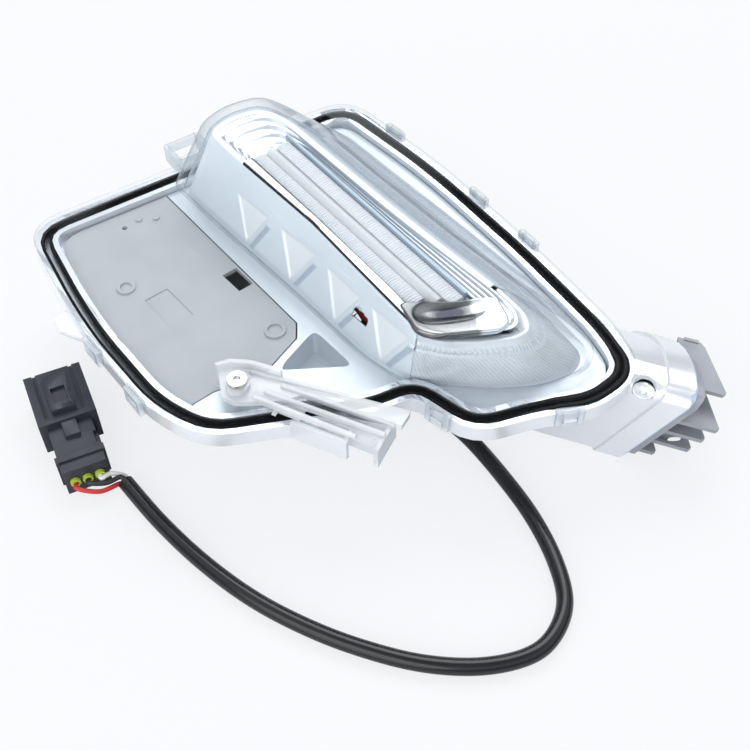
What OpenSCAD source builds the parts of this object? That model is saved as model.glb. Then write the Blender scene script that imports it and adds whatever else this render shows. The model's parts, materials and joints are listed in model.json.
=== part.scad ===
// Daytime running light for a car, lying on its back with its clear lens up.
// Lengths are in millimetres. X runs along the window, Z is square to the lens deck.

/* [Lens] */
// Height of the flat lens deck above the rest plane
deck_h = 50; // [48:1:56]
// Wall of the clear lens
lens_t = 2.4; // [1.8:0.1:3]
// Height of the window edge above the deck, at X = 0
window_rise = 24.5; // [20:0.5:30]
// Fall of the window per millimetre along X
window_tilt = 0.07; // [0:0.01:0.1]
// Rise of the window's crown above its edge
crown = 2.8; // [1.5:0.1:4]

/* [Seal] */
// Width of the sealing channel
channel_w = 5; // [4:0.5:6]
// Depth of the sealing channel
channel_d = 5; // [4:0.5:6]
// Thickness of the lens tongue that sits in the sealant
tongue_t = 1.8; // [1.2:0.1:2.4]
// Height of the lens tongue
tongue_h = 3.2; // [2:0.2:3.6]
// Clearance between the sealant and the channel walls
seal_gap = 0.1; // [0.05:0.05:0.3]

/* [Housing] */
// Wall of the rear housing
wall = 2.4; // [1.8:0.1:3]
// Depth of the tub below the deck
tub_depth = 26; // [22:1:30]
// Distance of the tub wall inside the seal line
tub_in = 16; // [14:0.5:18]
// Diameter of the rear fixing bosses
boss_d = 10; // [8:0.5:12]
// Pilot bore of the rear fixing bosses
boss_bore = 4.2; // [3:0.1:5]
// Depth of the pilot bore
boss_bore_h = 14; // [8:1:18]

/* [Neck] */
// Height of the neck that carries the heat sink
neck_h = 46.5; // [42:0.5:47.5]
// Width of the neck
neck_w = 54; // [48:1:58]
// Lean of the neck's end face
end_tilt = 25; // [18:1:30]
// Skew of the neck's end face
end_yaw = 11; // [6:1:16]
// Length of the neck's end collar
collar_l = 9; // [6:0.5:12]
// Step of the end collar out from the neck
collar_t = 1.4; // [1:0.1:2]

/* [Heat sink] */
// Number of fins
fin_n = 5; // [3:1:5]
// Fin spacing
fin_pitch = 8; // [7:0.25:8.5]
// Fin thickness
fin_t = 2; // [1.5:0.1:2.6]
// Fin length beyond the base plate
fin_l = 19; // [12:1:26]
// How much shorter the lowest fin is
fin_short = 9; // [0:1:10]
// How far the top fin is cut back from the front
top_fin_cut = 12; // [0:1:16]
// Thickness of the sink base plate
sink_t = 4; // [3:0.5:6]
// Thickness of the sink gasket
gasket_t = 1.5; // [1:0.1:2]

/* [Optics] */
// Gap between the lens and the pieces behind it
optic_gap = 1; // [0.6:0.1:1.6]
// Wall of the metallised bezel
bezel_t = 2; // [1.6:0.1:2.4]
// Depth of the truss pockets in the bezel wall
pocket_d = 1; // [0.6:0.1:1.2]
// Pitch of the truss pockets
pocket_pitch = 30; // [26:1:31]
// Pitch of the flutes
flute_pitch = 2.5; // [2:0.1:4]
// Height of the flutes
flute_h = 1.2; // [0.8:0.1:1.6]
// Width of each fluted strip
strip_w = 6.5; // [5:0.5:7]
// Width of the light guide bar
guide_w = 5; // [4:0.5:6]
// Depth of the optics floor under the window edge
floor_drop = 9; // [8:0.5:12]
// Thickness of the chrome strip
trim_t = 1.1; // [0.8:0.1:1.3]

/* [Cover plate and board] */
// Thickness of the cover plate
cover_t = 2; // [1.5:0.1:2.5]
// Gap around the cover plate
cover_gap = 0.6; // [0.3:0.1:1.2]
// Board thickness
pcb_t = 1.6; // [1:0.1:2]
// Height of the board standoffs
standoff_h = 5; // [3:0.5:7]

/* [Bracket] */
// Number of bracket ribs
rib_n = 3; // [2:1:3]
// Rib spacing
rib_pitch = 6.4; // [5.5:0.1:7]
// Rib thickness
rib_t = 1.8; // [1.2:0.1:2.2]
// Rib depth
rib_h = 10; // [7:0.5:11]
// Thickness of the bracket's top plate
plate_t = 2.6; // [2:0.1:3.5]
// Bore of the bracket eye
eye_d = 4.4; // [3.5:0.1:5]

/* [Cable and connector] */
// Cable sheath diameter
cord_d = 6.5; // [5.5:0.5:7]
// Wire diameter
wire_d = 2; // [1.6:0.1:2]
// Length of the connector
conn_l = 52; // [46:1:58]
// Width of the connector's front
conn_w = 24; // [22:1:26]
// Height of the connector's front
conn_h = 17; // [15:1:19]
// Wall of the connector's shroud
conn_wall = 2.4; // [1.8:0.1:3]

/* [Hidden] */
$fn = 40;

// Plan of the seal line: corner points with how far before each the curve starts
seal_line = [[-156, -58, 12], [-113, -66, 12], [-88, -69, 10], [-45, -70, 12],
    [-22, -62, 10], [-12, -44, 8], [8, -8, 7], [12, 10, 8], [40, 15, 9],
    [50, 40, 10], [60, 56, 8], [60, 78, 10.5], [38, 86, 8], [-16, 94, 20],
    [-80, 99.5, 20], [-139, 98, 12]];
// Plan of the window's foot on the deck, and of its top edge, corner for corner
window_foot = [[-146, 3, 7], [-108, 2.5, 12], [-60, 3, 12], [-10, 2.5, 8],
    [8, 6, 6], [22, 18, 7], [36, 32, 7], [46, 47, 7], [50, 65, 7], [44, 76, 6],
    [14, 81, 10], [-44, 83, 20], [-124, 84, 8], [-141, 68, 8], [-148, 30, 12]];
window_edge = [[-132, 12, 7], [-108, 12, 10], [-60, 13.5, 12], [-10, 11, 7],
    [6, 10.5, 5], [17, 16, 6], [27, 29, 6], [34, 42, 5], [33, 51, 4.5],
    [24, 56.5, 4.5], [10, 57, 8], [-44, 53.5, 20], [-116, 52, 8], [-132, 46, 7],
    [-136, 28, 9]];
// Clips: the side of the seal line each sits on, and how far along that side
clip_at = [[2, 0.12], [2, 0.85], [7, 0.55], [9, 0.5], [13, 0.02], [13, 0.55], [14, 0.5]];
loop_at = [15, 0.5];
clip_size = [11, 2, 8];
clip_gap = 0.3;
// Rear fixing bosses and board standoffs, in plan
boss_at = [[-122, -26], [-122, 62]];
board_at = [-91, -26];
board_size = [74, 32];
standoff_in = 4;
// The neck runs at this angle in plan, from its own left end
neck_a = 30;
neck_from = 46;
neck_v = 32;
end_w0 = 95;
screw_d = 3.5;
screw_head = 5.2;
// The bracket's ribs run at this angle, from this point
rib_a = 24.5;
rib_from = [-17.8, -29.4];
rib_l = 45;
rib_short = 9;
eye_at = [-27, -44.5];
// Cable: it leaves along the spout, then lies on the rest plane up to its three wires
spout_at = [-43, 31];
spout_a = 31;
spout_l = 12.5;
tub_z = deck_h - tub_depth;
function on_spout(s) = [spout_at.x + s * cos(spout_a), spout_at.y,
    tub_z + 1 - s * sin(spout_a)];
cord_route = concat([for (s = [4, 11, 18, 25]) on_spout(s)], [[-10, 31.5, 6.6],
    [5, 32.4, 3.8], [22, 33, 3.3], [43, 30.5, 3.3], [65, 26, 3.3], [85, 18.5, 3.3],
    [100, 8.5, 3.3], [107, -5, 3.3], [106.5, -18, 3.3], [98, -34, 3.3],
    [83, -49.5, 3.3], [63, -63, 3.3], [43, -73, 3.3], [22, -80.5, 3.3],
    [-2, -85.5, 3.3], [-27, -88, 3.3], [-51, -88.5, 4]]);
conn_at = [-61, -99.5];
conn_a = 164.4;
pin_pitch = 5;
pin_z = 7;
function on_pin(i, x) = [conn_at.x + x * cos(conn_a) - i * pin_pitch * sin(conn_a),
    conn_at.y + x * sin(conn_a) + i * pin_pitch * cos(conn_a), pin_z];
white_route = concat([[-51.3, -87.4, 3.4], [-54, -87.3, 4.2], [-56.8, -91.4, 6.4]],
    [for (x = [-3, -0.5, 3]) on_pin(-1, x)]);
black_route = concat([[-51.3, -88.5, 5.3], [-53.2, -89.5, 6.1], [-54.2, -95, 6]],
    [for (x = [-3.4, -0.5, 3]) on_pin(0, x)]);
red_route = concat([[-51.3, -89.6, 3.4], [-52.4, -91, 3.4], [-53, -99, 5]],
    [for (x = [-4.2, -0.8, 3]) on_pin(1, x)]);
function under_deck(points) = [for (p = points) p + [0, 0, deck_h]];
// A point given in the frame of the neck's end face
function on_end(q) = let(u = [q.x * cos(end_tilt) + q.z * sin(end_tilt), q.y,
        q.z * cos(end_tilt) - q.x * sin(end_tilt)],
    v = [end_w0 + u.x * cos(end_yaw) - u.y * sin(end_yaw),
        neck_v + u.x * sin(end_yaw) + u.y * cos(end_yaw)])
    [v.x * cos(neck_a) - v.y * sin(neck_a), v.x * sin(neck_a) + v.y * cos(neck_a), u.z];
red_loop = concat([for (s = [3.9, 0, -5]) on_spout(s) - [0, 1.2, 0]],
    under_deck([[-49, 26.5, -15], [-42, 20.5, -4], [-31, 17.4, 5.4], [-16, 17, 6.6],
        [-4, 24, -4], [10, 44, -16], [24, 64, -22]]),
    [for (q = [[-27.4, 20.65, 12.6], [-10.64, 20.98, 14.01], [-6.65, 21.02, 14]]) on_end(q)]);
black_loop = concat([for (s = [3.9, 0, -5]) on_spout(s) + [0, 1.2, 0]],
    under_deck([[-51.5, 31, -14], [-45, 24, -2], [-31, 18.4, 8.2], [-16, 18, 9.6],
        [-2, 25, 0], [12, 46, -12], [25, 64, -17.4]]),
    [for (q = [[-29.51, 18.86, 16.58], [-10.65, 17.01, 14.01], [-6.83, 17.04, 14.03]]) on_end(q)]);

// The whole model stands with the middle of its box, without the cable, at the origin
middle = [-37.2, 22.34];

brim_z = deck_h - lens_t - channel_d;
lip = channel_w / 2 + wall;
floor_z = tub_z + wall;
board_z = floor_z + standoff_h;
base_x = gasket_t + sink_t;

function unit(a) = a / norm(a);
function flat(p) = [for (a = p) [a.x, a.y]];

// Corner i of an outline, eased by a curve that starts k before the corner
function corner(p, i, n) = let(m = len(p), b = [p[i].x, p[i].y],
    a = flat(p)[(i + m - 1) % m], c = flat(p)[(i + 1) % m],
    k = min(p[i].z, 0.47 * norm(a - b), 0.47 * norm(c - b)),
    s = b + unit(a - b) * k, e = b + unit(c - b) * k)
    [for (j = [0 : n]) let(t = j / n)
        s * (1 - t) * (1 - t) + 2 * b * t * (1 - t) + e * t * t];
function eased(p, n = 3) = [for (i = [0 : len(p) - 1]) each corner(p, i, n)];

// An outline moved outward by d along the bisector of each corner
function grown(p, d) = let(q = flat(p), n = len(q))
    [for (i = [0 : n - 1]) let(u = unit(q[i] - q[(i + n - 1) % n]),
        v = unit(q[(i + 1) % n] - q[i]), nu = [u.y, -u.x], nv = [v.y, -v.x])
        q[i] + d * (nu + nv) / (1 + nu * nv)];
function grown_corners(p, d) = let(q = grown(p, d))
    [for (i = [0 : len(p) - 1]) [q[i].x, q[i].y, p[i].z]];
function seal_at(d) = grown(eased(seal_line, 4), d);
function inside_seal(d) = eased(grown_corners(seal_line, -d), 4);

// Height of the window's edge plane above X
function edge_z(x) = deck_h + window_rise - window_tilt * x;
function level(p, d, up) = [for (a = eased(grown_corners(p, -d)))
    [a.x, a.y, edge_z(a.x) + up]];
function foot(p, d, z) = [for (a = eased(grown_corners(p, -d))) [a.x, a.y, z]];

// Rings of the window dome, set in by d and lowered by the same
function dome(d, z) = [foot(window_foot, d, z), level(window_edge, d, -d),
    level(window_edge, d + 2.5, 0.6 * crown - d), level(window_edge, d + 8, crown - d)];

// A closed solid through rings of points that run the same way round
module loft(rings) {
    n = len(rings[0]);
    m = len(rings);
    polyhedron([for (r = rings) each r], concat(
        [[for (i = [0 : n - 1]) i]],
        [for (k = [0 : m - 2]) for (i = [0 : n - 1]) let(j = (i + 1) % n) each
            [[k * n + i, (k + 1) * n + i, k * n + j],
                [(k + 1) * n + i, (k + 1) * n + j, k * n + j]]],
        [[for (i = [n - 1 : -1 : 0]) (m - 1) * n + i]]));
}

// A round tube swept along a smooth curve through the points of a route
function through(a, b, c, d, t) = 0.5 * (2 * b + (c - a) * t
    + (2 * a - 5 * b + 4 * c - d) * t * t + (3 * b - a - 3 * c + d) * t * t * t);
function curve(p, n) = let(m = len(p)) [for (i = [0 : m - 2]) for (j = [0 : n - 1])
    through(p[max(i - 1, 0)], p[i], p[i + 1], p[min(i + 2, m - 1)], j / n), p[m - 1]];
function curved(p, n) = [for (a = curve(p, n)) if (is_list(a)) a];
module tube(route, d, sides, n) {
    p = curved(route, n);
    m = len(p);
    loft([for (i = [0 : m - 1]) let(t = unit(p[min(i + 1, m - 1)] - p[max(i - 1, 0)]),
        s = unit(cross([0, 0, 1], t)), u = cross(t, s))
        [for (j = [0 : sides - 1]) p[i]
            + (s * cos(360 * j / sides) + u * sin(360 * j / sides)) * d / 2]]);
}

module slab(z, h) {
    translate([0, 0, z]) linear_extrude(h) children();
}

// Everything is drawn in plan about the lamp's own axes, then centred
module placed() {
    translate([-middle.x, -middle.y, 0]) children();
}

// A point of the seal line, turned so that +Y points out of the lamp
module on_seal(at) {
    p = flat(seal_line);
    a = p[at[0]];
    b = p[(at[0] + 1) % len(p)];
    d = unit(b - a);
    translate([a.x + (b.x - a.x) * at[1], a.y + (b.y - a.y) * at[1], 0])
        rotate([0, 0, atan2(d.y, d.x) + 180]) children();
}

// The tilted plane of the window's top edge
module window_plane(z) {
    translate([0, 0, deck_h + window_rise]) rotate([0, atan(window_tilt), 0])
        translate([0, 0, z]) children();
}

// Section of the neck, across it and up, grown by g
function neck_section(g, lo) = let(a = neck_v - g, b = neck_v + neck_w + g,
    h = neck_h + g, c = neck_v + 6, t0 = asin(lo / h))
    concat([[a, lo + 2], [a + 2, lo]], [for (i = [0 : 10]) let(t = t0 + (90 - t0) * i / 10)
        [c + (b - c) * cos(t), h * sin(t)]], [[a + 1.8, h - 1.6], [a, h - 5]]);
module along_neck(w0, w1, g, lo) {
    rotate([0, 0, neck_a]) translate([w0, 0, 0]) rotate([90, 0, 90])
        linear_extrude(w1 - w0) polygon(neck_section(g, lo));
}

// Frame of the neck's end face: X out of it, Y across, Z up
module end_frame() {
    rotate([0, 0, neck_a]) translate([end_w0, neck_v, 0]) rotate([0, 0, end_yaw])
        rotate([0, end_tilt, 0]) children();
}
function end_w(v, z) = end_w0 + z * tan(end_tilt) / cos(end_yaw)
    - (v - neck_v) * tan(end_yaw);
module end_slice(x0, x1, g, lo) {
    intersection() {
        along_neck(60, 150, g, lo);
        end_frame() translate([x0, -20, -40]) cube([x1 - x0, 110, 130]);
    }
}
// Places of the sink screws across and up the end face
screw_at = [[6, 17.4], [neck_w - 9, 17.4]];

// The clear lens: deck, window dome, tongue, clips and the locating loop
module outer_lens() {
    color("lightcyan") placed() difference() {
        union() {
            slab(deck_h - lens_t, lens_t) polygon(seal_at(lip));
            loft(dome(0, deck_h - lens_t));
            slab(deck_h - lens_t - tongue_h, tongue_h) difference() {
                polygon(seal_at(tongue_t / 2));
                polygon(seal_at(-tongue_t / 2));
            }
            for (c = clip_at)
                on_seal(c) lens_clip();
            on_seal(loop_at) locating_loop();
        }
        loft(dome(lens_t, deck_h - lens_t - 1));
    }
}
// A hanging strap with a window that snaps over a barb of the housing
module lens_clip() {
    translate([-clip_size.x / 2, lip + clip_gap, deck_h - clip_size.z]) difference() {
        union() {
            cube(clip_size);
            translate([0, -1, clip_size.z - lens_t])
                cube([clip_size.x, 1, lens_t]);
        }
        translate([2.5, -2, 1.6]) cube([clip_size.x - 5, 6, clip_size.z - lens_t - 2.4]);
    }
}
module locating_loop() {
    translate([-9, lip - 0.5, deck_h - 7]) difference() {
        union() {
            cube([18, 14.5, 9]);
            translate([0, -6, 7]) cube([18, 7, 2]);
        }
        translate([2, 2.5, -1]) cube([14, 10, 12]);
        translate([4.5, -1.5, -1]) cube([9, 17, 5.5]);
        translate([-1, -7, -1]) cube([20, 7.5, 8]);
    }
}

// The sealant, with the groove that the tongue presses into it
module seal_bead() {
    color("black") placed() difference() {
        slab(brim_z, channel_d) difference() {
            polygon(seal_at(channel_w / 2 - seal_gap));
            polygon(seal_at(seal_gap - channel_w / 2));
        }
        slab(deck_h - lens_t - tongue_h, tongue_h + 1) difference() {
            polygon(seal_at(tongue_t / 2));
            polygon(seal_at(-tongue_t / 2));
        }
    }
}

// The rear housing: channel ring, tub, neck, collar, bosses and cable spout
module rear_housing() {
    color("silver") placed() {
        difference() {
            union() {
                slab(brim_z - wall, wall) polygon(seal_at(-1));
                slab(tub_z, brim_z - tub_z) polygon(inside_seal(tub_in));
                neck_body(0);
                for (b = boss_at)
                    translate([b.x, b.y, 0]) cylinder(h = tub_z + 1, d = boss_d);
                spout(cord_d + 6, 0);
            }
            slab(floor_z, deck_h) polygon(inside_seal(tub_in + wall));
            neck_body(-wall);
            slab(brim_z, deck_h) polygon(seal_at(lip));
            for (b = boss_at)
                translate([b.x, b.y, -1]) cylinder(h = boss_bore_h + 1, d = boss_bore);
            spout(cord_d + 3, 1);
            neck_bowl();
        }
        difference() {
            slab(brim_z - wall, channel_d + wall) difference() {
                polygon(seal_at(lip));
                polygon(seal_at(-lip));
            }
            slab(brim_z, deck_h) difference() {
                polygon(seal_at(channel_w / 2));
                polygon(seal_at(-channel_w / 2));
            }
        }
        for (c = clip_at)
            on_seal(c) clip_barb();
        board_standoffs();
        screw_bosses();
        on_seal([1, 0.62]) guide_wing();
    }
}
module neck_body(g) {
    difference() {
        union() {
            along_neck(neck_from - g, 150, g, -g);
            if (g == 0)
                end_slice(-collar_l, -0.01, collar_t, 0);
        }
        end_frame() translate([g == 0 ? 0 : 1, -40, -60]) cube([150, 160, 170]);
    }
}
// The bowl and the stepped recess along the neck's front top edge
module neck_bowl() {
    rotate([0, 0, neck_a]) translate([98, neck_v + 2, neck_h - 5]) {
        difference() {
            cylinder(h = 20, d = 9);
            cylinder(h = 20, d = 3);
        }
        translate([6, -4, 3.4]) cube([30, 5.4, 20]);
    }
}
module clip_barb() {
    translate([-clip_size.x / 2 + 3, lip - 0.5, deck_h - clip_size.z + 2.2])
        cube([clip_size.x - 6, 0.5 + clip_gap + clip_size.y, 1.6]);
}
module guide_wing() {
    slab(brim_z, 2.4) polygon([[-9, lip - 1], [13, lip - 1], [11, lip + 6.5],
        [4, lip + 7]]);
}
module board_standoffs() {
    for (x = [-1, 1], y = [-1, 1])
        translate([board_at.x + x * (board_size.x / 2 - standoff_in),
            board_at.y + y * (board_size.y / 2 - standoff_in), floor_z - 0.5])
            cylinder(h = standoff_h + 0.5, d = 6);
}
module screw_bosses() {
    for (s = screw_at)
        end_frame() translate([-13, s.x, s.y]) rotate([0, 90, 0]) difference() {
            cylinder(h = 13, d = 8);
            translate([0, 0, 3]) cylinder(h = 20, d = screw_d - 0.6);
        }
}
// The slanted cable spout under the tub
module spout(d, through) {
    translate([spout_at.x, spout_at.y, tub_z + 1]) rotate([0, 90 + spout_a, 0])
        translate([0, 0, -6 * through]) cylinder(h = spout_l + 12 * through, d = d);
    if (through == 0)
        translate([spout_at.x, spout_at.y, tub_z - 1]) cylinder(h = 2, d = d);
}

// The rubber grommet that fills the spout round the cable
module cable_grommet() {
    color("dimgray") placed() translate([spout_at.x, spout_at.y, tub_z + 1])
        rotate([0, 90 + spout_a, 0]) difference() {
            union() {
                cylinder(h = spout_l, d = cord_d + 3);
                translate([0, 0, spout_l]) cylinder(h = 2.5, d = cord_d + 6);
                translate([0, 0, spout_l + 2.5])
                    cylinder(h = 4, d1 = cord_d + 5, d2 = cord_d + 2.4);
            }
            translate([0, 0, -1]) cylinder(h = spout_l + 9, d = cord_d + 0.1);
        }
}

// A strip of wall that follows the window, from its foot to a lip round its opening
bezel_in = lens_t + optic_gap;
lip_w = 3;
ledge_z = brim_z + bezel_t;
bezel_foot = [for (i = [0 : 14]) i == 13 ? [-138.6, 66, 8] : i == 14 ? [-144, 30, 12] :
    window_foot[i]];
lip_edge = let(q = grown_corners(window_edge, -bezel_in - bezel_t - lip_w))
    [for (i = [0 : 14]) i == 3 ? [-12, 18.8, 7] : i == 4 ? [4.6, 17, 4] : q[i]];
function lip_ring(up) = [for (a = eased(lip_edge)) [a.x, a.y, edge_z(a.x) + up]];
function wall_rings(d, t) = [foot(bezel_foot, d + t, ledge_z),
    level(window_edge, d + t, -d - t), lip_ring(-d - t), lip_ring(-d),
    level(window_edge, d, -d), foot(bezel_foot, d, ledge_z)];
// The same strip round the window's end, up to the underside of the end cap
function blend(a, b, t) = [for (i = [0 : len(a) - 1]) a[i] * (1 - t) + b[i] * t];
function fan_rings(d, t) = let(g = foot(bezel_foot, d + t, ledge_z),
    h = foot(bezel_foot, d, ledge_z))
    [g, blend(level(window_edge, d + t, -d - t), g, 0.22),
        blend(level(window_edge, d, -d), h, 0.28), h];
function section(r, i, t) = let(n = len(r[0]))
    [for (a = r) a[i % n] * (1 - t) + a[(i + 1) % n] * t];
// The window's right end, by the number of points round the outline
fan_from = 18;
fan_to = 42;

// The metallised bezel of the window, with its truss pockets and one sight hole
module inner_bezel() {
    color("gainsboro") placed() difference() {
        loft([for (i = [fan_to : fan_from + 60]) section(wall_rings(bezel_in, bezel_t),
            i, 0)]);
        truss_pockets();
    }
}
// The metallised surround of the deck, with the deep pocket beside the cover plate
module deck_surround() {
    color("gainsboro") placed() {
        slab(brim_z, bezel_t) difference() {
            polygon(inside_seal(lip + 0.4));
            polygon([for (a = foot(bezel_foot, bezel_in + bezel_t, 0)) [a.x, a.y]]);
            polygon(cover_outline(-cover_gap));
            polygon(pocket_outline(-bezel_t));
        }
        slab(pocket_z, ledge_z - pocket_z) difference() {
            polygon(pocket_outline(0));
            polygon(pocket_outline(-bezel_t));
        }
        slab(pocket_z, bezel_t) polygon(pocket_outline(0));
    }
}
pocket_depth = 12.6;
pocket_z = brim_z - pocket_depth;
function pocket_outline(d) = eased(grown_corners([[-33, -21, 2.5], [-29, -27, 2.5],
    [-8.5, 1.4, 4], [-40, 1.4, 4]], d));
// Triangles sunk in the front wall, each between two slanted bars
module truss_pockets() {
    lean = atan(9.5 / 26);
    translate([0, 3 + bezel_in, brim_z + 5]) rotate([-lean, 0, 0]) {
        for (i = [0 : 3])
            translate([-94 + i * pocket_pitch, pocket_d, 0]) rotate([90, 0, 0])
                linear_extrude(9) polygon([[-9, 21], [9, 21], [0, 5]]);
        translate([-21, 9, 0]) rotate([90, 0, 0]) linear_extrude(20)
            polygon([[-5, 8], [4, 8], [4, 11.5], [-2, 14]]);
    }
}

// The fluted lens round the window's end: every other section stands out as a flute
module fan_lens() {
    low = fan_rings(bezel_in + 0.8, bezel_t - 0.8);
    high = fan_rings(bezel_in, bezel_t);
    color("azure") placed() loft([for (i = [fan_from : fan_to - 1])
        let(m = 2 * max(1, round(norm(low[3][i + 1] - low[3][i]) / flute_pitch)))
        for (j = [i == fan_from ? 1 : 0 : m - 1])
            section(j % 2 == 0 ? low : high, i, j / m)]);
}

// The matte plate over the driver board
cover_shape = [[-170, -90], [-37, -90], [-37, -50], [-32, -29], [-38.5, -9],
    [-45, -4], [-170, -1]];
function cover_outline(g) = grown(cover_shape, -g);
module cover_plate() {
    color("lightgray") placed() difference() {
        union() {
            slab(brim_z, cover_t) intersection() {
                polygon(inside_seal(lip + cover_gap));
                polygon(cover_shape);
            }
            for (b = [[-106, -46, 8], [-47, -13, 9]])
                translate([b.x, b.y, brim_z]) cylinder(h = cover_t + 1, d = b.z);
            for (b = [[-138.5, -19.5], [-134.5, -13]])
                translate([b.x, b.y, brim_z]) cylinder(h = cover_t + 0.8, d = 3);
        }
        translate([-106, -46, brim_z + cover_t]) cylinder(h = 3, d = 5);
        translate([-47, -13, brim_z + cover_t]) cylinder(h = 3, d = 6);
        translate([-138, -27, brim_z - 1]) cylinder(h = 9, d = 2.4);
        translate([-86.5, -11, brim_z - 1]) cube([12, 7, 9]);
        translate([-95, -44, brim_z + cover_t - 0.5]) cube([19, 11, 3]);
    }
}

module driver_board() {
    color("seagreen") placed()
        translate([board_at.x - board_size.x / 2, board_at.y - board_size.y / 2, board_z])
            cube([board_size.x, board_size.y, pcb_t]);
}
// Coil, capacitors, driver and sockets on the board
module board_chips() {
    color("dimgray") placed() translate([board_at.x, board_at.y, board_z + pcb_t]) {
        translate([-32, -12, 0]) cube([12, 12, 5]);
        translate([-12, -10, 0]) cube([9, 9, 1.6]);
        for (x = [4, 13, 22])
            translate([x, -8, 0]) cylinder(h = 5.5, d = 6.3);
        translate([26, 4, 0]) cube([9, 10, 6]);
        translate([-30, 7, 0]) cube([6, 4, 2]);
    }
}

// Slanted left edge of the end cap at a given Y
function cap_x(y) = -4.4 + (y - 20.4) * 0.71;
strip_y = 22;
guide_y = strip_y + strip_w + 0.5;
back_y = guide_y + guide_w + 0.5;
strip_x = -106;
tray_end = 22;
cap_top = [[-5, 16.4, 2], [7.6, 13.6, 2], [13, 16.9, 2], [25.3, 38.8, 2],
    [24.6, 42.6, 2], [14.5, 47, 2]];
cap_body = [[-4.4, 20.4, 1], [6.8, 18.6, 1], [9, 15.2, 1], [13, 16.9, 2],
    [25.3, 38.8, 2], [24.6, 42.6, 2], [14.5, 47, 2]];
// The chrome strip on the bezel's lip, with its polished end cap
module chrome_trim() {
    color("whitesmoke") placed() window_plane(-floor_drop) {
        slab(floor_drop - bezel_in + 0.02, trim_t) polygon([[-104, 15.8], [-60, 17.4],
            [-12, 15.2], [4, 14.6], [0, 18.4], [-12, 20], [-60, 21], [-104, 20.8]]);
        difference() {
            union() {
                slab(floor_drop - bezel_in + 0.02, trim_t) polygon(eased(cap_top));
                slab(0, floor_drop - bezel_in + 0.5) polygon(eased(cap_body));
            }
            translate([4, 12, floor_drop + 18.4]) rotate([0, 90, 58.5])
                cylinder(h = 60, r = 22.3, center = true, $fn = 96);
        }
    }
}
// A strip of flutes that run across it, up to the slanted end cap
module fluted(y, w) {
    n = floor((cap_x(y) - 1 - strip_x) / flute_pitch);
    slab_top = 3;
    translate([strip_x, y + w, 0]) rotate([90, 0, 0]) linear_extrude(w)
        polygon(concat([[0, 0], [n * flute_pitch, 0]], [for (i = [n : -1 : 1])
            each [[i * flute_pitch, slab_top],
                [(i - 0.5) * flute_pitch, slab_top + flute_h]]], [[0, slab_top]]));
}
module flute_front() {
    color("white") placed() window_plane(-floor_drop) fluted(strip_y, strip_w);
}
module flute_back() {
    color("white") placed() window_plane(-floor_drop) fluted(back_y, strip_w);
}
module light_guide() {
    color("aliceblue") placed() window_plane(-floor_drop)
        translate([strip_x - 3, guide_y, 0]) rotate([90, 0, 90])
            linear_extrude(cap_x(guide_y) - 1 - strip_x + 3) union() {
                square([guide_w, 3.2]);
                translate([guide_w / 2, 3.2]) circle(d = guide_w);
            }
}
// The reflector floor under the optics, with its upstand and posts
module optic_tray() {
    color("lightsteelblue") placed() {
        difference() {
            window_plane(-floor_drop - 2) linear_extrude(2)
                polygon(eased(grown_corners(window_edge, -bezel_in - bezel_t - 0.4)));
            translate([tray_end, 0, 0]) cube([60, 100, 120]);
        }
        window_plane(-floor_drop) translate([strip_x - 3, back_y + strip_w + 0.5, 0])
            cube([cap_x(back_y + strip_w) - 3 - strip_x, 1.6, 5]);
        difference() {
            for (x = [-112, -62, -14])
                translate([x, 32, floor_z]) cylinder(h = 60, d = 6);
            window_plane(-floor_drop - 1) translate([-200, 0, 0]) cube([300, 90, 60]);
        }
    }
}

// The light-emitting board on the heat sink's pedestal
pedestal = [5, 16, 13, 16, 16];
module led_board() {
    color("white") placed() end_frame()
        translate([-pedestal[0] - pcb_t, pedestal[1] - 2, pedestal[2] - 2])
            cube([pcb_t, pedestal[3] + 4, pedestal[4] + 4]);
}
module leds() {
    color("gold") placed() end_frame() for (i = [0 : 2])
        translate([-pedestal[0] - pcb_t - 0.8, pedestal[1] + 1 + i * 5.2,
            pedestal[2] + 6])
            cube([0.8, 3.5, 3.5]);
}

// The cast heat sink: base plate, pedestal, fins and the hook on the top fin
module heat_sink() {
    color("gray") placed() difference() {
        union() {
            end_slice(gasket_t, base_x, -2.5, 0);
            end_frame() translate([-pedestal[0], pedestal[1], pedestal[2]])
                cube([pedestal[0] + base_x - 1, pedestal[3], pedestal[4]]);
            for (k = [0 : fin_n - 1])
                fin(k);
            fin_hook();
        }
        for (s = screw_at)
            end_frame() translate([0, s.x, s.y]) rotate([0, 90, 0])
                cylinder(h = 20, d = screw_d + 0.4);
    }
}
function back_v(z) = neck_v + 6 + (neck_w - 8) * pow(1 - pow(z / neck_h, 2.6), 0.385);
module fin(k) {
    z = k * fin_pitch;
    top = k == fin_n - 1;
    vf = neck_v + 6 + (top ? top_fin_cut : 0);
    vb = back_v(z + fin_t);
    l = fin_l - (k == 0 ? fin_short : 0);
    root = end_w(vf, z) + base_x - 1.5;
    root_b = end_w(vb, z) + base_x - 1.5;
    slab(z, fin_t) rotate([0, 0, neck_a]) polygon([[root, vf],
        [root + 2 + l - 0.2 * (vf - neck_v), vf],
        [root + 3 + l - 0.2 * (vf - neck_v), vf + 1.5],
        [root_b + 1 + l - 0.2 * (vb - neck_v), vb - 2],
        [root_b - 1 + l - 0.2 * (vb - neck_v), vb], [root_b, vb]]);
}
module fin_hook() {
    z = (fin_n - 1) * fin_pitch;
    vb = back_v(z + fin_t);
    rotate([0, 0, neck_a]) translate([end_w(vb, z) + base_x + 1, vb - 1, z - 2.6])
        cube([6, 1.6, 3 + fin_t]);
}
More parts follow.
